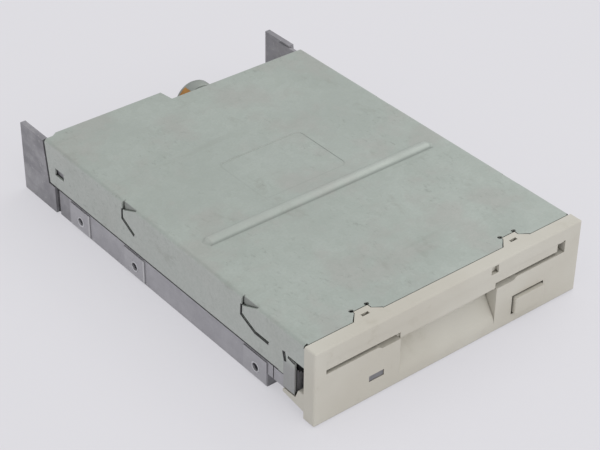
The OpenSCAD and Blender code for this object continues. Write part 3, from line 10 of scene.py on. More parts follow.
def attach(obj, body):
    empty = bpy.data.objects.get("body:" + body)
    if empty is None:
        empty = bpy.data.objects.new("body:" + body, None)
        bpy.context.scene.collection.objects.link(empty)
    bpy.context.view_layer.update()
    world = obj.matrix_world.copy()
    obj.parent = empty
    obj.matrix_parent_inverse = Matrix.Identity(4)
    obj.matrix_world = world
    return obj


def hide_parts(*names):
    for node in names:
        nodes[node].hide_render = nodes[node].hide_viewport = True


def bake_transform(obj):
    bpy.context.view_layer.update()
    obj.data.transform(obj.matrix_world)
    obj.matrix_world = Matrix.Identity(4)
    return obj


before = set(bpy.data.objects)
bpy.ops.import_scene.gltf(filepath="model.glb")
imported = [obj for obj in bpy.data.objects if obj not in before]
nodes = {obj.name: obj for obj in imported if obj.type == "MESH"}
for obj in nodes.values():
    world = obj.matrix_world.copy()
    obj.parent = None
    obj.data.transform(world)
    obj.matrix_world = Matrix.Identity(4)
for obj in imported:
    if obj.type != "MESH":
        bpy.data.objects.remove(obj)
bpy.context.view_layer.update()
scene = bpy.context.scene

MM = 0.001

# Places on the drive, in mm: x from its middle, y from the bezel's face, z from its underside
ORIGIN_Y = 74.15
# Cover
COVER_TOP = 25.4
SKIRT_X = 50.4
SKIRT_Z = 9.9
SKIRT_FRONT = 16.0
TOP_FRONT = 12.0
LEG_REAR = 13.9
LEG_RUB = (13.5, 16.5)
TONGUE_Z = 21.5
HOOKS = (32.5, 91.55)
RIB_FOOT = 56.7
RIB_END = 43.2
PAD_Y = 78.0
PAD_HALF_X = 15.9
PAD_HALF_Y = 11.9
PAD_ROUND = 2.0
# Chassis
BOSS_X = 50.4
BOSS_AHEAD = 5.1
RAIL_X = 49.9
RAIL_TOP = 9.5
RAIL_END = 123.3
COVERED_X = (46.2, 49.2)
COVERED_Z = 13.2
COVERED_END = 118.0
SIDE_HOLES = (26.5, 86.5, 116.5)
SIDE_HOLE_Z = 4.0
BOTTOM_HOLES = (38, 98)
BOTTOM_HOLE_X = 47.625
HOLE_R = 1.25
THREAD_PITCH = 0.5
# Boards
BOARD_Z = 4.2
SPINDLE = (-1.2, 53)
CHIP_X, CHIP_Y = -13, 109
CHIP_EDGE = 8.8
CHIP_PITCH = 1.3
SIGNAL_X = -24.51
SIGNAL_ROWS = (133.32, 131.12)
SIGNAL_PITCH = 2.54
POWER_X, POWER_Y = 34, 133.0
POWER_PITCH = 2.5
RUN_W = 0.36
RUN_TURN = 124


def depth(y):
    """A distance behind the bezel's face, in mm, as y of the part's frame."""
    return (y - ORIGIN_Y) * MM


def at(x, y, z):
    """A point of the drive, in mm, in the part's frame."""
    return Vector((x * MM, depth(y), z * MM))


def srgb(r, g, b):
    """An 8-bit screen colour as linear values."""
    out = []
    for c in (r, g, b):
        c /= 255.0
        out.append(c / 12.92 if c <= 0.04045 else ((c + 0.055) / 1.055) ** 2.4)
    return (*out, 1.0)


class Shade:
    """A material under construction: a Principled shader and short ways to feed it."""

    def __init__(self, name, rough=0.5, metal=0.0, spec=0.5):
        self.mat = bpy.data.materials.new(name)
        self.mat.use_nodes = True
        self.tree = self.mat.node_tree
        self.bsdf = self.tree.nodes["Principled BSDF"]
        self.bsdf.inputs["Roughness"].default_value = rough
        self.bsdf.inputs["Metallic"].default_value = metal
        self.bsdf.inputs["Specular IOR Level"].default_value = spec
        self.coord = self.tree.nodes.new("ShaderNodeTexCoord").outputs["Object"]

    def node(self, kind, **props):
        n = self.tree.nodes.new(kind)
        for k, v in props.items():
            setattr(n, k, v)
        return n

    def link(self, a, b):
        self.tree.links.new(a, b)

    def mapped(self, scale=(1, 1, 1), turn=0.0, move=(0, 0, 0)):
        m = self.node("ShaderNodeMapping")
        self.link(self.coord, m.inputs["Vector"])
        m.inputs["Scale"].default_value = scale
        m.inputs["Rotation"].default_value = (0, 0, math.radians(turn))
        m.inputs["Location"].default_value = move
        return m.outputs["Vector"]

    def noise(self, per_m, detail=3.0, rough=0.55, stretch=(1, 1, 1), turn=0.0, move=(0, 0, 0)):
        n = self.node("ShaderNodeTexNoise")
        self.link(self.mapped(stretch, turn, move), n.inputs["Vector"])
        n.inputs["Scale"].default_value = per_m
        n.inputs["Detail"].default_value = detail
        n.inputs["Roughness"].default_value = rough
        return n.outputs["Fac"]

    def ramp(self, fac, lo, hi, a=0.0, b=1.0):
        r = self.node("ShaderNodeMapRange")
        r.interpolation_type = "SMOOTHSTEP"
        self.link(fac, r.inputs["Value"])
        for k, v in (("From Min", lo), ("From Max", hi), ("To Min", a), ("To Max", b)):
            r.inputs[k].default_value = v
        return r.outputs["Result"]

    def mix(self, fac, a, b):
        m = self.node("ShaderNodeMix", data_type="RGBA")
        self.link(fac, m.inputs["Factor"])
        for v, key in ((a, "A"), (b, "B")):
            socket = [s for s in m.inputs if s.name == key and s.type == "RGBA"][0]
            if isinstance(v, tuple):
                socket.default_value = v
            else:
                self.link(v, socket)
        return [s for s in m.outputs if s.type == "RGBA"][0]

    def math(self, op, a, b=0.0):
        m = self.node("ShaderNodeMath", operation=op)
        for i, v in enumerate((a, b)):
            if isinstance(v, (int, float)):
                m.inputs[i].default_value = v
            else:
                self.link(v, m.inputs[i])
        return m.outputs["Value"]

    def times(self, first, *others):
        for other in others:
            first = self.math("MULTIPLY", first, other)
        return first

    def above(self, value, limit):
        return self.math("GREATER_THAN", value, limit)

    def below(self, value, limit):
        return self.math("LESS_THAN", value, limit)

    def xyz(self, vector):
        split = self.node("ShaderNodeSeparateXYZ")
        self.link(vector, split.inputs["Vector"])
        return [split.outputs[axis] for axis in "XYZ"]

    def painted_shade_and_dirt(self, base, dark, reach, amount):
        """Painted shade and dirt: a darker colour in gaps and corners, found by ambient occlusion."""
        ao = self.node("ShaderNodeAmbientOcclusion", samples=8)
        ao.inputs["Distance"].default_value = reach
        occluded = self.ramp(ao.outputs["AO"], 0.3, 0.8, 1.0, 0.0)
        return self.mix(self.times(occluded, amount), base, dark)

    def colour(self, value):
        self.link(value, self.bsdf.inputs["Base Color"])

    def rough(self, value):
        self.link(value, self.bsdf.inputs["Roughness"])

    def bump(self, height, strength, distance):
        b = self.node("ShaderNodeBump")
        b.inputs["Strength"].default_value = strength
        b.inputs["Distance"].default_value = distance
        self.link(height, b.inputs["Height"])
        self.link(b.outputs["Normal"], self.bsdf.inputs["Normal"])


def plated_sheet():
    """Zinc-plated cover sheet: a green-grey bloom in soft patches, spangle, scuffs and rubbed marks, with
    painted light and shade on its sides, rib, pad, slits and gaps.
    """
    s = Shade("plated_sheet", metal=0.3, spec=0.4)
    x, y, z = s.xyz(s.coord)
    side = s.math("ABSOLUTE", x)
    across, _, up = s.xyz(s.node("ShaderNodeNewGeometry").outputs["Normal"])
    base = s.mix(s.ramp(s.noise(34, 4, 0.6), 0.36, 0.64), srgb(170, 178, 171), srgb(176, 184, 177))
    warm = s.ramp(s.noise(60, 4, 0.6, move=(5, 2, 0)), 0.46, 0.64, 0.0, 0.5)
    base = s.mix(warm, base, srgb(172, 170, 165))
    cells = s.node("ShaderNodeTexVoronoi")
    s.link(s.mapped(), cells.inputs["Vector"])
    cells.inputs["Scale"].default_value = 420
    grey = s.node("ShaderNodeRGBToBW")
    s.link(cells.outputs["Color"], grey.inputs["Color"])
    base = s.mix(s.ramp(grey.outputs["Val"], 0.2, 0.8, 0.0, 0.2), base, srgb(158, 166, 158))
    # Painted light: faces that turn to the side, such as the skirts, are lighter and less green than the top
    base = s.mix(s.ramp(up, 0.2, 0.8, 0.75, 0.0), base, srgb(192, 195, 191))
    fine = s.ramp(s.noise(1300, 2, 0.7), 0.3, 0.7, 0.0, 0.3)
    base = s.mix(fine, base, srgb(157, 165, 158))
    smudge = s.ramp(s.noise(75, 7, 0.72, (1, 0.6, 1), 35), 0.57, 0.7, 0.0, 0.4)
    base = s.mix(smudge, base, srgb(147, 149, 141))
    patch = s.ramp(s.noise(46, 2, 0.5, move=(2, 7, 0)), 0.45, 0.58)
    scuff = s.ramp(s.noise(700, 8, 0.8, (1, 0.5, 1), 30, (3, 1, 0)), 0.54, 0.66, 0.0, 0.36)
    base = s.mix(s.times(patch, scuff), base, srgb(122, 126, 119))
    streak = s.ramp(s.noise(170, 5, 0.65, (0.12, 1, 1), 8, (1, 4, 0)), 0.6, 0.72, 0.0, 0.25)
    base = s.mix(streak, base, srgb(151, 155, 147))
    # Painted highlight on the rib's crest, and painted shadow along its front foot
    rib_crest_highlight = s.ramp(z, (COVER_TOP + 0.35) * MM, (COVER_TOP + 0.75) * MM, 0.0, 0.3)
    base = s.mix(rib_crest_highlight, base, srgb(200, 205, 198))
    rib_foot_shadow = s.times(s.ramp(y, depth(RIB_FOOT - 0.35), depth(RIB_FOOT)),
                   s.ramp(y, depth(RIB_FOOT + 0.1), depth(RIB_FOOT + 0.6), 1.0, 0.0),
                   s.below(side, RIB_END * MM), 0.42)
    base = s.mix(rib_foot_shadow, base, srgb(104, 108, 103))
    # Painted light on the pressed pad's step, and a faint line of painted shade round the pad
    near_top = s.above(z, (COVER_TOP - 0.2) * MM)
    step = s.times(s.ramp(up, 0.1, 0.5, 0.85, 0.0), near_top)
    base = s.mix(step, base, srgb(236, 240, 234))
    along = s.math("ABSOLUTE", s.math("SUBTRACT", y, depth(PAD_Y)))
    over_x = s.math("MAXIMUM", s.math("SUBTRACT", side, (PAD_HALF_X - PAD_ROUND) * MM))
    over_y = s.math("MAXIMUM", s.math("SUBTRACT", along, (PAD_HALF_Y - PAD_ROUND) * MM))
    corner = s.math("ADD", s.math("POWER", over_x, 2.0), s.math("POWER", over_y, 2.0))
    beyond = s.math("SUBTRACT", s.math("SQRT", corner), PAD_ROUND * MM)
    pad_outline_shade = s.times(s.ramp(s.math("ABSOLUTE", beyond), 0.1 * MM, 0.5 * MM, 0.16, 0.0), near_top)
    base = s.mix(pad_outline_shade, base, srgb(134, 138, 132))
    # Painted shade on the tongues bent in behind the hooks
    flank = s.above(s.math("ABSOLUTE", across), 0.85)
    tongue_shade = s.times(flank, s.below(side, (SKIRT_X - 0.45) * MM), s.above(z, TONGUE_Z * MM), 0.5)
    base = s.mix(tongue_shade, base, srgb(104, 106, 102))
    # The legs at the front are rubbed to bare steel
    rubbed = s.ramp(z, LEG_RUB[0] * MM, LEG_RUB[1] * MM, 0.55, 0.0)
    base = s.mix(s.times(rubbed, s.below(y, depth(LEG_REAR))), base, srgb(152, 150, 153))
    # Painted shade of the gap above the rails: a near-black band along the skirts' bare sheared lower edge
    edge = s.ramp(z, (SKIRT_Z + 0.15) * MM, (SKIRT_Z + 0.4) * MM, 0.85, 0.0)
    base = s.mix(s.times(edge, s.above(y, depth(SKIRT_FRONT))), base, srgb(44, 44, 44))
    # The painted shade and dirt are left off the open top
    unshaded_top = s.times(s.above(z, (COVER_TOP - 0.5) * MM), s.above(y, depth(TOP_FRONT)))
    s.colour(s.painted_shade_and_dirt(base, srgb(34, 34, 33), 1.2 * MM, s.ramp(unshaded_top, 0.0, 1.0, 0.95, 0.0)))
    s.rough(s.ramp(s.noise(60, 4, 0.6), 0.3, 0.7, 0.46, 0.62))
    s.bump(s.noise(1500, 2, 0.6), 0.1, 0.1 * MM)
    return s.mat


def inner_sheet():
    """Plated sheet of the inner pieces: cleaner and brighter than the cover."""
    s = Shade("inner_sheet", metal=0.6)
    s.colour(s.mix(s.ramp(s.noise(50, 4), 0.3, 0.7), srgb(172, 176, 174), srgb(184, 188, 186)))
    s.rough(s.ramp(s.noise(900, 3, 0.6, (1, 0.1, 1)), 0.3, 0.7, 0.36, 0.48))
    return s.mat


def die_cast():
    """Die-cast alloy: a dull skin with flow marks and grain, bright rubbed spots, painted highlights on two
    boss edges, and painted shade and dirt in its pockets.
    """
    s = Shade("die_cast", metal=0.35, spec=0.4)
    x, y, z = s.xyz(s.coord)
    side = s.math("ABSOLUTE", x)
    base = s.mix(s.ramp(s.noise(70, 5, 0.65), 0.35, 0.68), srgb(142, 141, 145), srgb(164, 163, 166))
    flow = s.ramp(s.noise(160, 4, 0.6, (1, 0.25, 1), 20), 0.5, 0.7, 0.0, 0.45)
    base = s.mix(flow, base, srgb(124, 123, 127))
    spot = s.ramp(s.noise(900, 3, 0.7), 0.6, 0.74, 0.0, 0.7)
    base = s.mix(spot, base, srgb(198, 198, 199))
    # The bosses round the side holes are faced off
    rails = s.times(s.below(z, RAIL_TOP * MM), s.below(y, depth(RAIL_END)))
    face = s.ramp(s.noise(700, 3, 0.6, (1, 0.08, 1)), 0.3, 0.7)
    faced = s.mix(face, srgb(176, 176, 177), srgb(192, 192, 193))
    base = s.mix(s.times(s.above(side, (BOSS_X - 0.03) * MM), rails, 0.3), base, faced)
    # The rails' outer faces are rubbed lighter
    handled = s.above(side, RAIL_X * MM)
    base = s.mix(s.times(handled, rails, 0.45), base, srgb(191, 190, 195))
    # Painted highlights on the front edges of the two rear bosses
    proud = s.times(s.above(side, (BOSS_X - 0.3) * MM), rails)
    for hole in SIDE_HOLES[1:]:
        off = s.math("SUBTRACT", y, depth(hole - BOSS_AHEAD + 0.2))
        boss_edge_highlight = s.ramp(s.math("ABSOLUTE", off), 0.25 * MM, 0.55 * MM, 0.8, 0.0)
        base = s.mix(s.times(boss_edge_highlight, proud), base, srgb(206, 206, 207))
    # Painted shade on the alloy behind the cover's skirts, which shows through the slits
    hidden_shade = s.times(s.above(side, COVERED_X[0] * MM), s.below(side, COVERED_X[1] * MM),
                      s.above(z, COVERED_Z * MM), s.below(y, depth(COVERED_END)), 0.9)
    base = s.mix(hidden_shade, base, srgb(38, 38, 40))
    # Painted shade and dirt in gaps and pockets, weaker on the rails' outer faces
    s.colour(s.painted_shade_and_dirt(base, srgb(48, 47, 48), 1.6 * MM, s.ramp(handled, 0.0, 1.0, 0.9, 0.5)))
    s.rough(s.ramp(s.noise(300, 3), 0.3, 0.7, 0.42, 0.62))
    s.bump(s.noise(1100, 4, 0.7), 0.22, 0.15 * MM)
    return s.mat


def bezel_plastic(name, a, b):
    """Moulded plastic with a fine spark-eroded grain, yellowed unevenly, with painted shade and dirt in its
    gaps.
    """
    s = Shade(name, rough=0.5, spec=0.35)
    base = s.mix(s.ramp(s.noise(24, 3), 0.35, 0.65), a, b)
    grime = s.ramp(s.noise(120, 6, 0.72), 0.56, 0.76, 0.0, 0.3)
    base = s.mix(grime, base, srgb(168, 162, 146))
    # Painted shade and dirt in gaps and corners
    s.colour(s.painted_shade_and_dirt(base, srgb(92, 86, 74), 1.2 * MM, 0.85))
    s.rough(s.ramp(s.noise(80, 3), 0.3, 0.7, 0.44, 0.58))
    s.bump(s.noise(2600, 2, 0.5), 0.16, 0.1 * MM)
    return s.mat


def shaded(rgb, share):
    """A screen colour, given as a tuple, that is lighter or darker by a share."""
    return srgb(*(min(255, c * share) for c in rgb))


def plain_plastic(name, rgb, rough=0.5, grain=0.1):
    """Moulded plastic, slightly uneven in tone, with a fine grain."""
    s = Shade(name, rough=rough)
    s.colour(s.mix(s.ramp(s.noise(90, 3), 0.35, 0.65), shaded(rgb, 0.86), srgb(*rgb)))
    s.bump(s.noise(2200, 2), grain, 0.1 * MM)
    return s.mat


def bright_metal(name, rgb, rough=0.25):
    """Bare metal, slightly uneven in tone, with a drawn sheen."""
    s = Shade(name, metal=0.95)
    s.colour(s.mix(s.ramp(s.noise(120, 3), 0.35, 0.65), shaded(rgb, 0.88), srgb(*rgb)))
    s.rough(s.ramp(s.noise(500, 2, 0.6, (1, 0.2, 1)), 0.3, 0.7, rough, rough + 0.15))
    return s.mat


def board(name, rgb):
    """Solder mask over glass cloth."""
    s = Shade(name, rough=0.38)
    weave = s.node("ShaderNodeTexBrick")
    s.link(s.mapped(), weave.inputs["Vector"])
    weave.inputs["Scale"].default_value = 900
    weave.inputs["Mortar Size"].default_value = 0.06
    weave.inputs["Color1"].default_value = srgb(*rgb)
    weave.inputs["Color2"].default_value = shaded(rgb, 0.96)
    weave.inputs["Mortar"].default_value = shaded(rgb, 1.1)
    s.colour(s.mix(s.ramp(s.noise(60, 3), 0.4, 0.6, 0.0, 0.3), weave.outputs["Color"], shaded(rgb, 0.8)))
    s.bump(weave.outputs["Fac"], 0.2, 0.1 * MM)
    return s.mat


def clear_plastic(name, rgb, clear):
    """Tinted plastic that lets a share of the light through."""
    s = Shade(name, rough=0.28)
    s.colour(s.mix(s.ramp(s.noise(300, 2), 0.3, 0.7), srgb(*rgb), shaded(rgb, 0.9)))
    s.bsdf.inputs["Transmission Weight"].default_value = clear
    return s.mat


COVER = plated_sheet()
SHEET = inner_sheet()
CAST = die_cast()
BEZEL = bezel_plastic("bezel_plastic", srgb(195, 191, 180), srgb(202, 199, 189))
LENS = clear_plastic("lens_plastic", (124, 124, 128), 0.1)
LAMP = clear_plastic("lamp_plastic", (150, 205, 150), 0.4)
SCREW = bright_metal("screw_steel", (196, 198, 200), 0.28)
CAN = bright_metal("motor_can", (164, 170, 162), 0.42)
STEEL = bright_metal("polished_steel", (216, 218, 220), 0.16)
SPRING = bright_metal("spring_steel", (170, 176, 182), 0.3)
BRONZE = bright_metal("bronze", (190, 146, 76), 0.35)
GOLD = bright_metal("gold_pin", (222, 184, 96), 0.22)
COPPER = bright_metal("copper_wire", (196, 118, 62), 0.3)
CORE = bright_metal("core_steel", (108, 112, 118), 0.4)
BLACK = plain_plastic("chip_black", (40, 40, 44), 0.45)
HEADER = plain_plastic("header_black", (46, 46, 49), 0.5)
IVORY = plain_plastic("header_white", (228, 222, 208), 0.5)
WHITE = plain_plastic("white_plastic", (232, 230, 224), 0.45)
CARRIAGE = plain_plastic("carriage_plastic", (62, 64, 69), 0.5, 0.2)
ARM = plain_plastic("arm_plastic", (201, 197, 180), 0.5, 0.2)
CERAMIC = plain_plastic("head_ceramic", (76, 79, 88), 0.2, 0.02)
MAGNET = plain_plastic("magnet", (76, 73, 70), 0.6, 0.3)
FILM = plain_plastic("amber_film", (184, 128, 48), 0.3, 0.03)
GREEN = board("board_green", (38, 84, 58))
DARK_GREEN = board("board_dark", (42, 76, 56))
RUNS = plain_plastic("copper_run", (96, 146, 98), 0.35, 0.03)
SOLDER = bright_metal("solder", (198, 201, 204), 0.25)
# Real threads in the holes, coloured dark as painted shade of the holes
THREAD_SHADE = bright_metal("thread_shade_alloy", (72, 72, 75), 0.35)
# Painted shade for the slits in the skirts
SLIT_SHADE = plain_plastic("slit_shade_edge", (30, 30, 31), 0.6, 0.2)
FACED = bright_metal("faced_alloy", (224, 224, 226), 0.3)

MATERIALS = {
    COVER: ["top_cover"],
    CAN: ["stepper_motor"],
    CAST: ["chassis"],
    BEZEL: ["front_bezel", "slot_door", "eject_button"],
    LENS: ["led_lens"],
    LAMP: ["indicator_led"],
    BRONZE: ["spindle_bearing"],
    DARK_GREEN: ["motor_board"],
    GREEN: ["main_board"],
    CORE: ["stator_core"],
    COPPER: ["stator_coils"],
    SCREW: ["motor_screws", "board_screws", "stepper_screws", "clamp_screws"],
    BLACK: ["board_chips", "track_zero_sensor", "switch_bodies"],
    HEADER: ["signal_header"],
    IVORY: ["power_header"],
    GOLD: ["signal_pins", "power_pins"],
    SHEET: ["stepper_bracket", "rod_clamps", "eject_slider", "disk_holder", "latch_lever", "spindle_rotor"],
    FILM: ["stepper_flex", "head_flex"],
    STEEL: ["guide_rods", "lever_post", "holder_pins", "spindle_shaft", "drive_hub", "drive_pin",
            "lead_screw"],
    SPRING: ["eject_spring_left", "eject_spring_right", "door_spring", "lever_spring", "pressure_springs",
             "arm_spring"],
    CARRIAGE: ["head_carriage"],
    CERAMIC: ["lower_head", "upper_head"],
    ARM: ["upper_arm"],
    MAGNET: ["rotor_magnet"],
    WHITE: ["screw_follower", "write_protect_plunger", "density_plunger", "disk_in_plunger"],
}
for material, names in MATERIALS.items():
    for name in names:
        obj = nodes[name]
        if obj.material_slots:
            obj.material_slots[0].material = material
        else:
            obj.data.materials.append(material)


def piece(name, bm, material, body, smooth=False):
    """Turns a mesh in mm of the drive into a piece that rides on a body."""
    bmesh.ops.recalc_face_normals(bm, faces=bm.faces[:])
    for v in bm.verts:
        v.co = at(*v.co)
    mesh = bpy.data.meshes.new(name)
    bm.to_mesh(mesh)
    bm.free()
    for f in mesh.polygons:
        f.use_smooth = smooth
    mesh.materials.append(material)
    obj = bpy.data.objects.new(name, mesh)
    scene.collection.objects.link(obj)
    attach(obj, body)


def sweep(bm, rings):
    """Joins closed rings of points into one tube with capped ends."""
    made = [[bm.verts.new(p) for p in ring] for ring in rings]
    n = len(made[0])
    for a, b in zip(made, made[1:]):
        for i in range(n):
            bm.faces.new((a[i], a[(i + 1) % n], b[(i + 1) % n], b[i]))
    bm.faces.new(made[0])
    bm.faces.new(made[-1][::-1])


def angles(count):
    """Angles of a full turn in equal steps."""
    return [2 * math.pi * i / count for i in range(count)]


def outward(inward, turn):
    """The direction away from a hole's axis at an angle round it."""
    side = Vector((0, 1, 0))
    return side * math.cos(turn) + inward.cross(side) * math.sin(turn)


def thread(bm, mouth, inward, turns):
    """A female thread: a ridge that winds into a bore from its mouth."""
    inward = Vector(inward)
    per_turn = 20
    start, ridge, sunk = 0.35, 0.24, 0.02
    flank = inward * THREAD_PITCH * 0.42
    rings = []
    for i in range(turns * per_turn + 1):
        out = outward(inward, 2 * math.pi * i / per_turn)
        mid = Vector(mouth) + inward * (start + THREAD_PITCH * i / per_turn)
        root = mid + out * (HOLE_R + sunk)
        rings.append([root - flank, mid + out * (HOLE_R - ridge), root + flank])
    sweep(bm, rings)


def rim(bm, mouth, inward):
    """The rounded burr that a tap leaves round a hole."""
    inward = Vector(inward)
    steps, half_width, height = 24, 0.3, 0.14
    rings = []
    for i in range(steps + 1):
        out = outward(inward, 2 * math.pi * i / steps)
        mid = Vector(mouth) + out * (HOLE_R + half_width)
        rings.append([mid + (out * half_width * math.cos(a) + inward * height * math.sin(a))
                      for a in angles(6)])
    sweep(bm, rings)


# Tapped holes: side and bottom mounting holes of the chassis
threads = bmesh.new()
rims = bmesh.new()
for sign in (-1, 1):
    for y in SIDE_HOLES:
        mouth = (sign * BOSS_X, y, SIDE_HOLE_Z)
        thread(threads, mouth, (-sign, 0, 0), 6)
        rim(rims, mouth, (-sign, 0, 0))
    for y in BOTTOM_HOLES:
        thread(threads, (sign * BOTTOM_HOLE_X, y, 0), (0, 0, 1), 8)
piece("hole_threads", threads, THREAD_SHADE, "frame")
piece("hole_rims", rims, FACED, "frame", True)


def slit_shade(bm, points, sign, width):
    """Painted shade: a near-black strip along the lower edge of a slit in a skirt, on the sheared burr that
    lancing leaves.
    """
    sunk, proud = 0.1, 0.03
    low, high = sign * (SKIRT_X - sunk), sign * (SKIRT_X + proud)
    normals = []
    for (y0, z0), (y1, z1) in zip(points, points[1:]):
        run = Vector((y1 - y0, z1 - z0)).normalized()
        normals.append(Vector((-run.y, run.x)))
    rings = []
    for i, (y, z) in enumerate(points):
        before, after = normals[max(i - 1, 0)], normals[min(i, len(normals) - 1)]
        mitre = (before + after).normalized()
        mitre *= width / mitre.dot(before)
        near, far = (y, z), (y + mitre.x, z + mitre.y)
        rings.append([(low, *near), (low, *far), (high, *far), (high, *near)])
    sweep(bm, rings)


# Near-black strips of painted shade along the hook and leg slits
slit_shades = bmesh.new()
for sign in (-1, 1):
    front, rear = HOOKS
    slit_shade(slit_shades, [(front, 22.5), (front + 0.2, 19.0), (front - 5.8, 16.4), (front - 12.0, 16.3)], sign, 0.6)
    slit_shade(slit_shades, [(rear, 22.5), (rear + 0.2, 19.0), (rear - 5.8, 15.9)], sign, 0.6)
    slit_shade(slit_shades, [(13.7, 18.0), (12.9, 14.8)], sign, 0.7)
    slit_shade(slit_shades, [(11.9, 17.1), (8.9, 16.5)], sign, 0.4)
piece("slit_shade_strips", slit_shades, SLIT_SHADE, "frame")


def solder(bm, x, y, r, h):
    """A solder cone on the underside of the main board, with the clipped end of a pin."""
    profile = ((1.0, 0.0), (0.72, 0.25), (0.45, 0.6), (0.4, 1.0))
    sweep(bm, [[(x + wide * r * math.cos(a), y + wide * r * math.sin(a), BOARD_Z - deep * h)
                for a in angles(10)] for wide, deep in profile])


def row(middle, pitch, count):
    """Places in equal steps about a middle."""
    return [middle + (i - (count - 1) / 2) * pitch for i in range(count)]


signal = row(SIGNAL_X, SIGNAL_PITCH, 17)
power = row(POWER_X, POWER_PITCH, 4)
joints = bmesh.new()
for y in SIGNAL_ROWS:
    for x in signal:
        solder(joints, x, y, r=0.78, h=0.9)
for x in power:
    solder(joints, x, POWER_Y, r=0.95, h=1.1)
piece("solder_joints", joints, SOLDER, "frame", True)


def strip(bm, points, width=RUN_W):
    """A copper run under the solder mask, as a thin raised strip along its points."""
    sunk, proud = 0.01, 0.035
    h = width / 2
    for (x0, y0), (x1, y1) in zip(points, points[1:]):
        run = Vector((x1 - x0, y1 - y0))
        if run.length < 1e-6:
            continue
        run.normalize()
        n = Vector((-run.y, run.x)) * h
        e = run * h * 0.4
        flat = [(x0 - e.x + n.x, y0 - e.y + n.y), (x1 + e.x + n.x, y1 + e.y + n.y),
                (x1 + e.x - n.x, y1 + e.y - n.y), (x0 - e.x - n.x, y0 - e.y - n.y)]
        sweep(bm, [[(x, y, z) for x, y in flat] for z in (BOARD_Z + sunk, BOARD_Z - proud)])


runs = bmesh.new()
# Main board: from the chip's four sides to the headers and the board's edges
lead = row(0, CHIP_PITCH, 10)
for i, a in enumerate(lead):
    near, far, y = CHIP_X + a, CHIP_X + a * 1.6, CHIP_Y + a
    pin, start = signal[6 + i], 118.6 + 0.5 * i
    strip(runs, [(near, 118.0), (near, start), (pin, start + abs(pin - near)), (pin, 130.6)])
    strip(runs, [(near, CHIP_Y - CHIP_EDGE), (near, 98 - abs(a) * 0.5), (far, 98 - abs(a) * 1.1),
                 (far, 89.2)])
    if i < 6:
        left, lane, pin = CHIP_Y + lead[9 - i], -43.6 + CHIP_PITCH * i, signal[i]
        strip(runs, [(CHIP_X - CHIP_EDGE, left), (lane + 1, left), (lane, left + 1), (lane, RUN_TURN),
                     (pin, RUN_TURN + abs(pin - lane)), (pin, 132.8)])
    if i < 5:
        strip(runs, [(CHIP_X + CHIP_EDGE, y), (7.4, y)])
    else:
        step = 0.9 * (i - 5)
        lane, turn = 4.4 - step, RUN_TURN + step
        strip(runs, [(CHIP_X + CHIP_EDGE, y), (lane - 1, y), (lane, y + 1), (lane, turn),
                     (lane + 1, turn + 1), (26, turn + 1)])
for i, x in enumerate(power):
    lane = 22.4 + 2.4 * i
    strip(runs, [(x, POWER_Y - 0.9), (x, 129), (lane, 129 + lane - x), (lane, 117)], 1.1)
strip(runs, [(-44.4, 89.4), (44.4, 89.4), (44.4, 92)], 0.7)
strip(runs, [(15.4, 106), (22, 106), (25, 109), (25, 111.6)])
strip(runs, [(15.4, 108), (20, 108), (23.4, 111.6)])
# Motor board: arcs behind the rotor and runs to the front edge
for k, r in enumerate((26.4, 27.6, 28.8)):
    turns = [math.radians(t) for t in range(20 + 4 * k, 161 - 4 * k, 7)]
    strip(runs, [(SPINDLE[0] + r * math.cos(t), SPINDLE[1] + r * math.sin(t)) for t in turns], 0.5)
for i in range(8):
    x, y = -30 + 3.2 * i, 20.0 + 0.8 * i
    strip(runs, [(x, 15.0), (x, y), (-26 + 3.4 * i, y + 4)], 0.4)
piece("board_runs", runs, RUNS, "frame")


def flexing(node, start, end, cuts=0):
    """A copy of a CAD spring or film, with the same form, shown in place of the CAD piece and cut into slices
    between two points when asked.
    """
    start, end = at(*start), at(*end)
    mesh = nodes[node].data.copy()
    if cuts:
        bm = bmesh.new()
        bm.from_mesh(mesh)
        for i in range(1, cuts):
            bmesh.ops.bisect_plane(bm, geom=bm.verts[:] + bm.edges[:] + bm.faces[:],
                                   plane_co=start.lerp(end, i / cuts), plane_no=end - start)
        bm.to_mesh(mesh)
        bm.free()
    obj = bpy.data.objects.new(node + "_flexing", mesh)
    scene.collection.objects.link(obj)
    obj.matrix_world = nodes[node].matrix_world
    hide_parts(node)
    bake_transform(obj)


for hand, x in (("left", -33.2), ("right", 30.8)):
    flexing("eject_spring_" + hand, (x, 43.0, 12.1), (x, 69.0, 12.1))
flexing("lever_spring", (-35.2, 106.0, 17.4), (-35.2, 106.0, 15.0))
flexing("door_spring", (36.2, 1.7, 21.5), (36.2, 1.7, 18.3), 12)
flexing("arm_spring", (-1.2, 123.0, 20.0), (-1.2, 109.0, 20.0), 16)
flexing("head_flex", (-1.2, 101.6, 5.7), (-1.2, 101.6, 11.1))

# Small rounded edges on the pieces that show, in mm
EDGES = {
    "top_cover": 0.12, "front_bezel": 0.18, "slot_door": 0.12, "eject_button": 0.18, "chassis": 0.22,
    "led_lens": 0.1, "signal_header": 0.15, "power_header": 0.15, "stepper_motor": 0.12,
}
for name, width in EDGES.items():
    obj = nodes[name]
    weld = obj.modifiers.new("weld", "WELD")
    weld.merge_threshold = 1e-6
    bevel = obj.modifiers.new("edge", "BEVEL")
    bevel.width = width * MM
    bevel.segments = 2
    bevel.limit_method = "ANGLE"
    bevel.angle_limit = math.radians(40)
    bevel.use_clamp_overlap = True
    bevel.harden_normals = False

# Stage: a sheet of paper that goes on as the backdrop
PAPER = srgb(221, 220, 225)
FLOOR_HALF = 3.0
PAPER_SHARE = 0.65


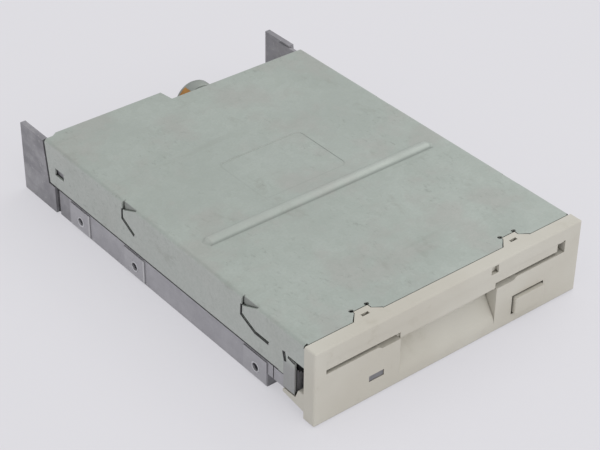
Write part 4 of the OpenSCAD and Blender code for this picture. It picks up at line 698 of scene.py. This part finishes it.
def shown(tree):
    """1 on rays from the camera and on those that metal and clear plastic send on, else 0."""
    path = tree.nodes.new("ShaderNodeLightPath")
    out = path.outputs["Is Camera Ray"]
    for ray in ("Is Glossy Ray", "Is Transmission Ray"):
        either = tree.nodes.new("ShaderNodeMath")
        either.operation = "MAXIMUM"
        tree.links.new(out, either.inputs[0])
        tree.links.new(path.outputs[ray], either.inputs[1])
        out = either.outputs["Value"]
    return out


def pick(tree, fac, a, b, target):
    """Mixes two shaders by a factor into an output."""
    mixed = tree.nodes.new("ShaderNodeMixShader")
    tree.links.new(fac, mixed.inputs["Fac"])
    tree.links.new(a, mixed.inputs[1])
    tree.links.new(b, mixed.inputs[2])
    tree.links.new(mixed.outputs["Shader"], target.inputs["Surface"])


mesh = bpy.data.meshes.new("floor")
corners = [(sx * FLOOR_HALF, sy * FLOOR_HALF, 0) for sx, sy in ((-1, -1), (1, -1), (1, 1), (-1, 1))]
mesh.from_pydata(corners, [], [(0, 1, 2, 3)])
floor = bpy.data.objects.new("floor", mesh)
scene.collection.objects.link(floor)
floor.location.z = -0.2 * MM
stage = Shade("floor", rough=0.9, spec=0.1)
stage.colour(stage.mix(stage.noise(3, 2), srgb(229, 228, 232), srgb(233, 232, 236)))
# Where it is shown, the floor is partly plain paper, so that the shadow stays pale
paper = stage.node("ShaderNodeEmission")
paper.inputs["Color"].default_value = PAPER
pick(stage.tree, stage.times(shown(stage.tree), PAPER_SHARE), stage.bsdf.outputs["BSDF"],
     paper.outputs["Emission"], stage.tree.nodes["Material Output"])
floor.data.materials.append(stage.mat)

# Light: a plain white world that is shown as paper, and two soft lamps
world = bpy.data.worlds.new("studio")
world.use_nodes = True
sky = world.node_tree
background = sky.nodes["Background"]
background.inputs["Color"].default_value = (1.0, 1.0, 1.0, 1.0)
background.inputs["Strength"].default_value = 0.8
backdrop = sky.nodes.new("ShaderNodeBackground")
backdrop.inputs["Color"].default_value = PAPER
pick(sky, shown(sky), background.outputs["Background"], backdrop.outputs["Background"],
     sky.nodes["World Output"])
scene.world = world


def area(name, place, size, power):
    """A soft lamp, placed and sized in metres, that points at the part's origin."""
    data = bpy.data.lights.new(name, "AREA")
    data.shape = "RECTANGLE"
    data.size, data.size_y = size
    data.energy = power
    lamp = bpy.data.objects.new(name, data)
    scene.collection.objects.link(lamp)
    lamp.location = place
    lamp.rotation_euler = (-Vector(place)).to_track_quat("-Z", "Y").to_euler()


area("key", (0.1, -1.05, 0.7), (0.9, 0.7), 2.4)
area("top", (1.0, 0.3, 0.9), (0.8, 0.5), 2.4)

# Camera at the photo's viewing angle, fitted to the bezel's corners and the cover's edges
data = bpy.data.cameras.new("photo")
data.sensor_fit = "HORIZONTAL"
data.sensor_width = 36.0
data.lens = 101.8415
data.shift_x = 0.01087
data.shift_y = -0.02598
data.clip_start = 0.01
camera = bpy.data.objects.new("photo", data)
scene.collection.objects.link(camera)
right = Vector((0.781422, -0.623946, 0.00841))
up = Vector((0.348049, 0.447, 0.824047))
back = Vector((-0.51792, -0.641001, 0.56646))
turned = Matrix((right, up, back)).transposed().to_4x4()
camera.matrix_world = Matrix.Translation(at(-273.236, -265.656, 310.202)) @ turned
scene.camera = camera

scene.view_settings.view_transform = "Standard"
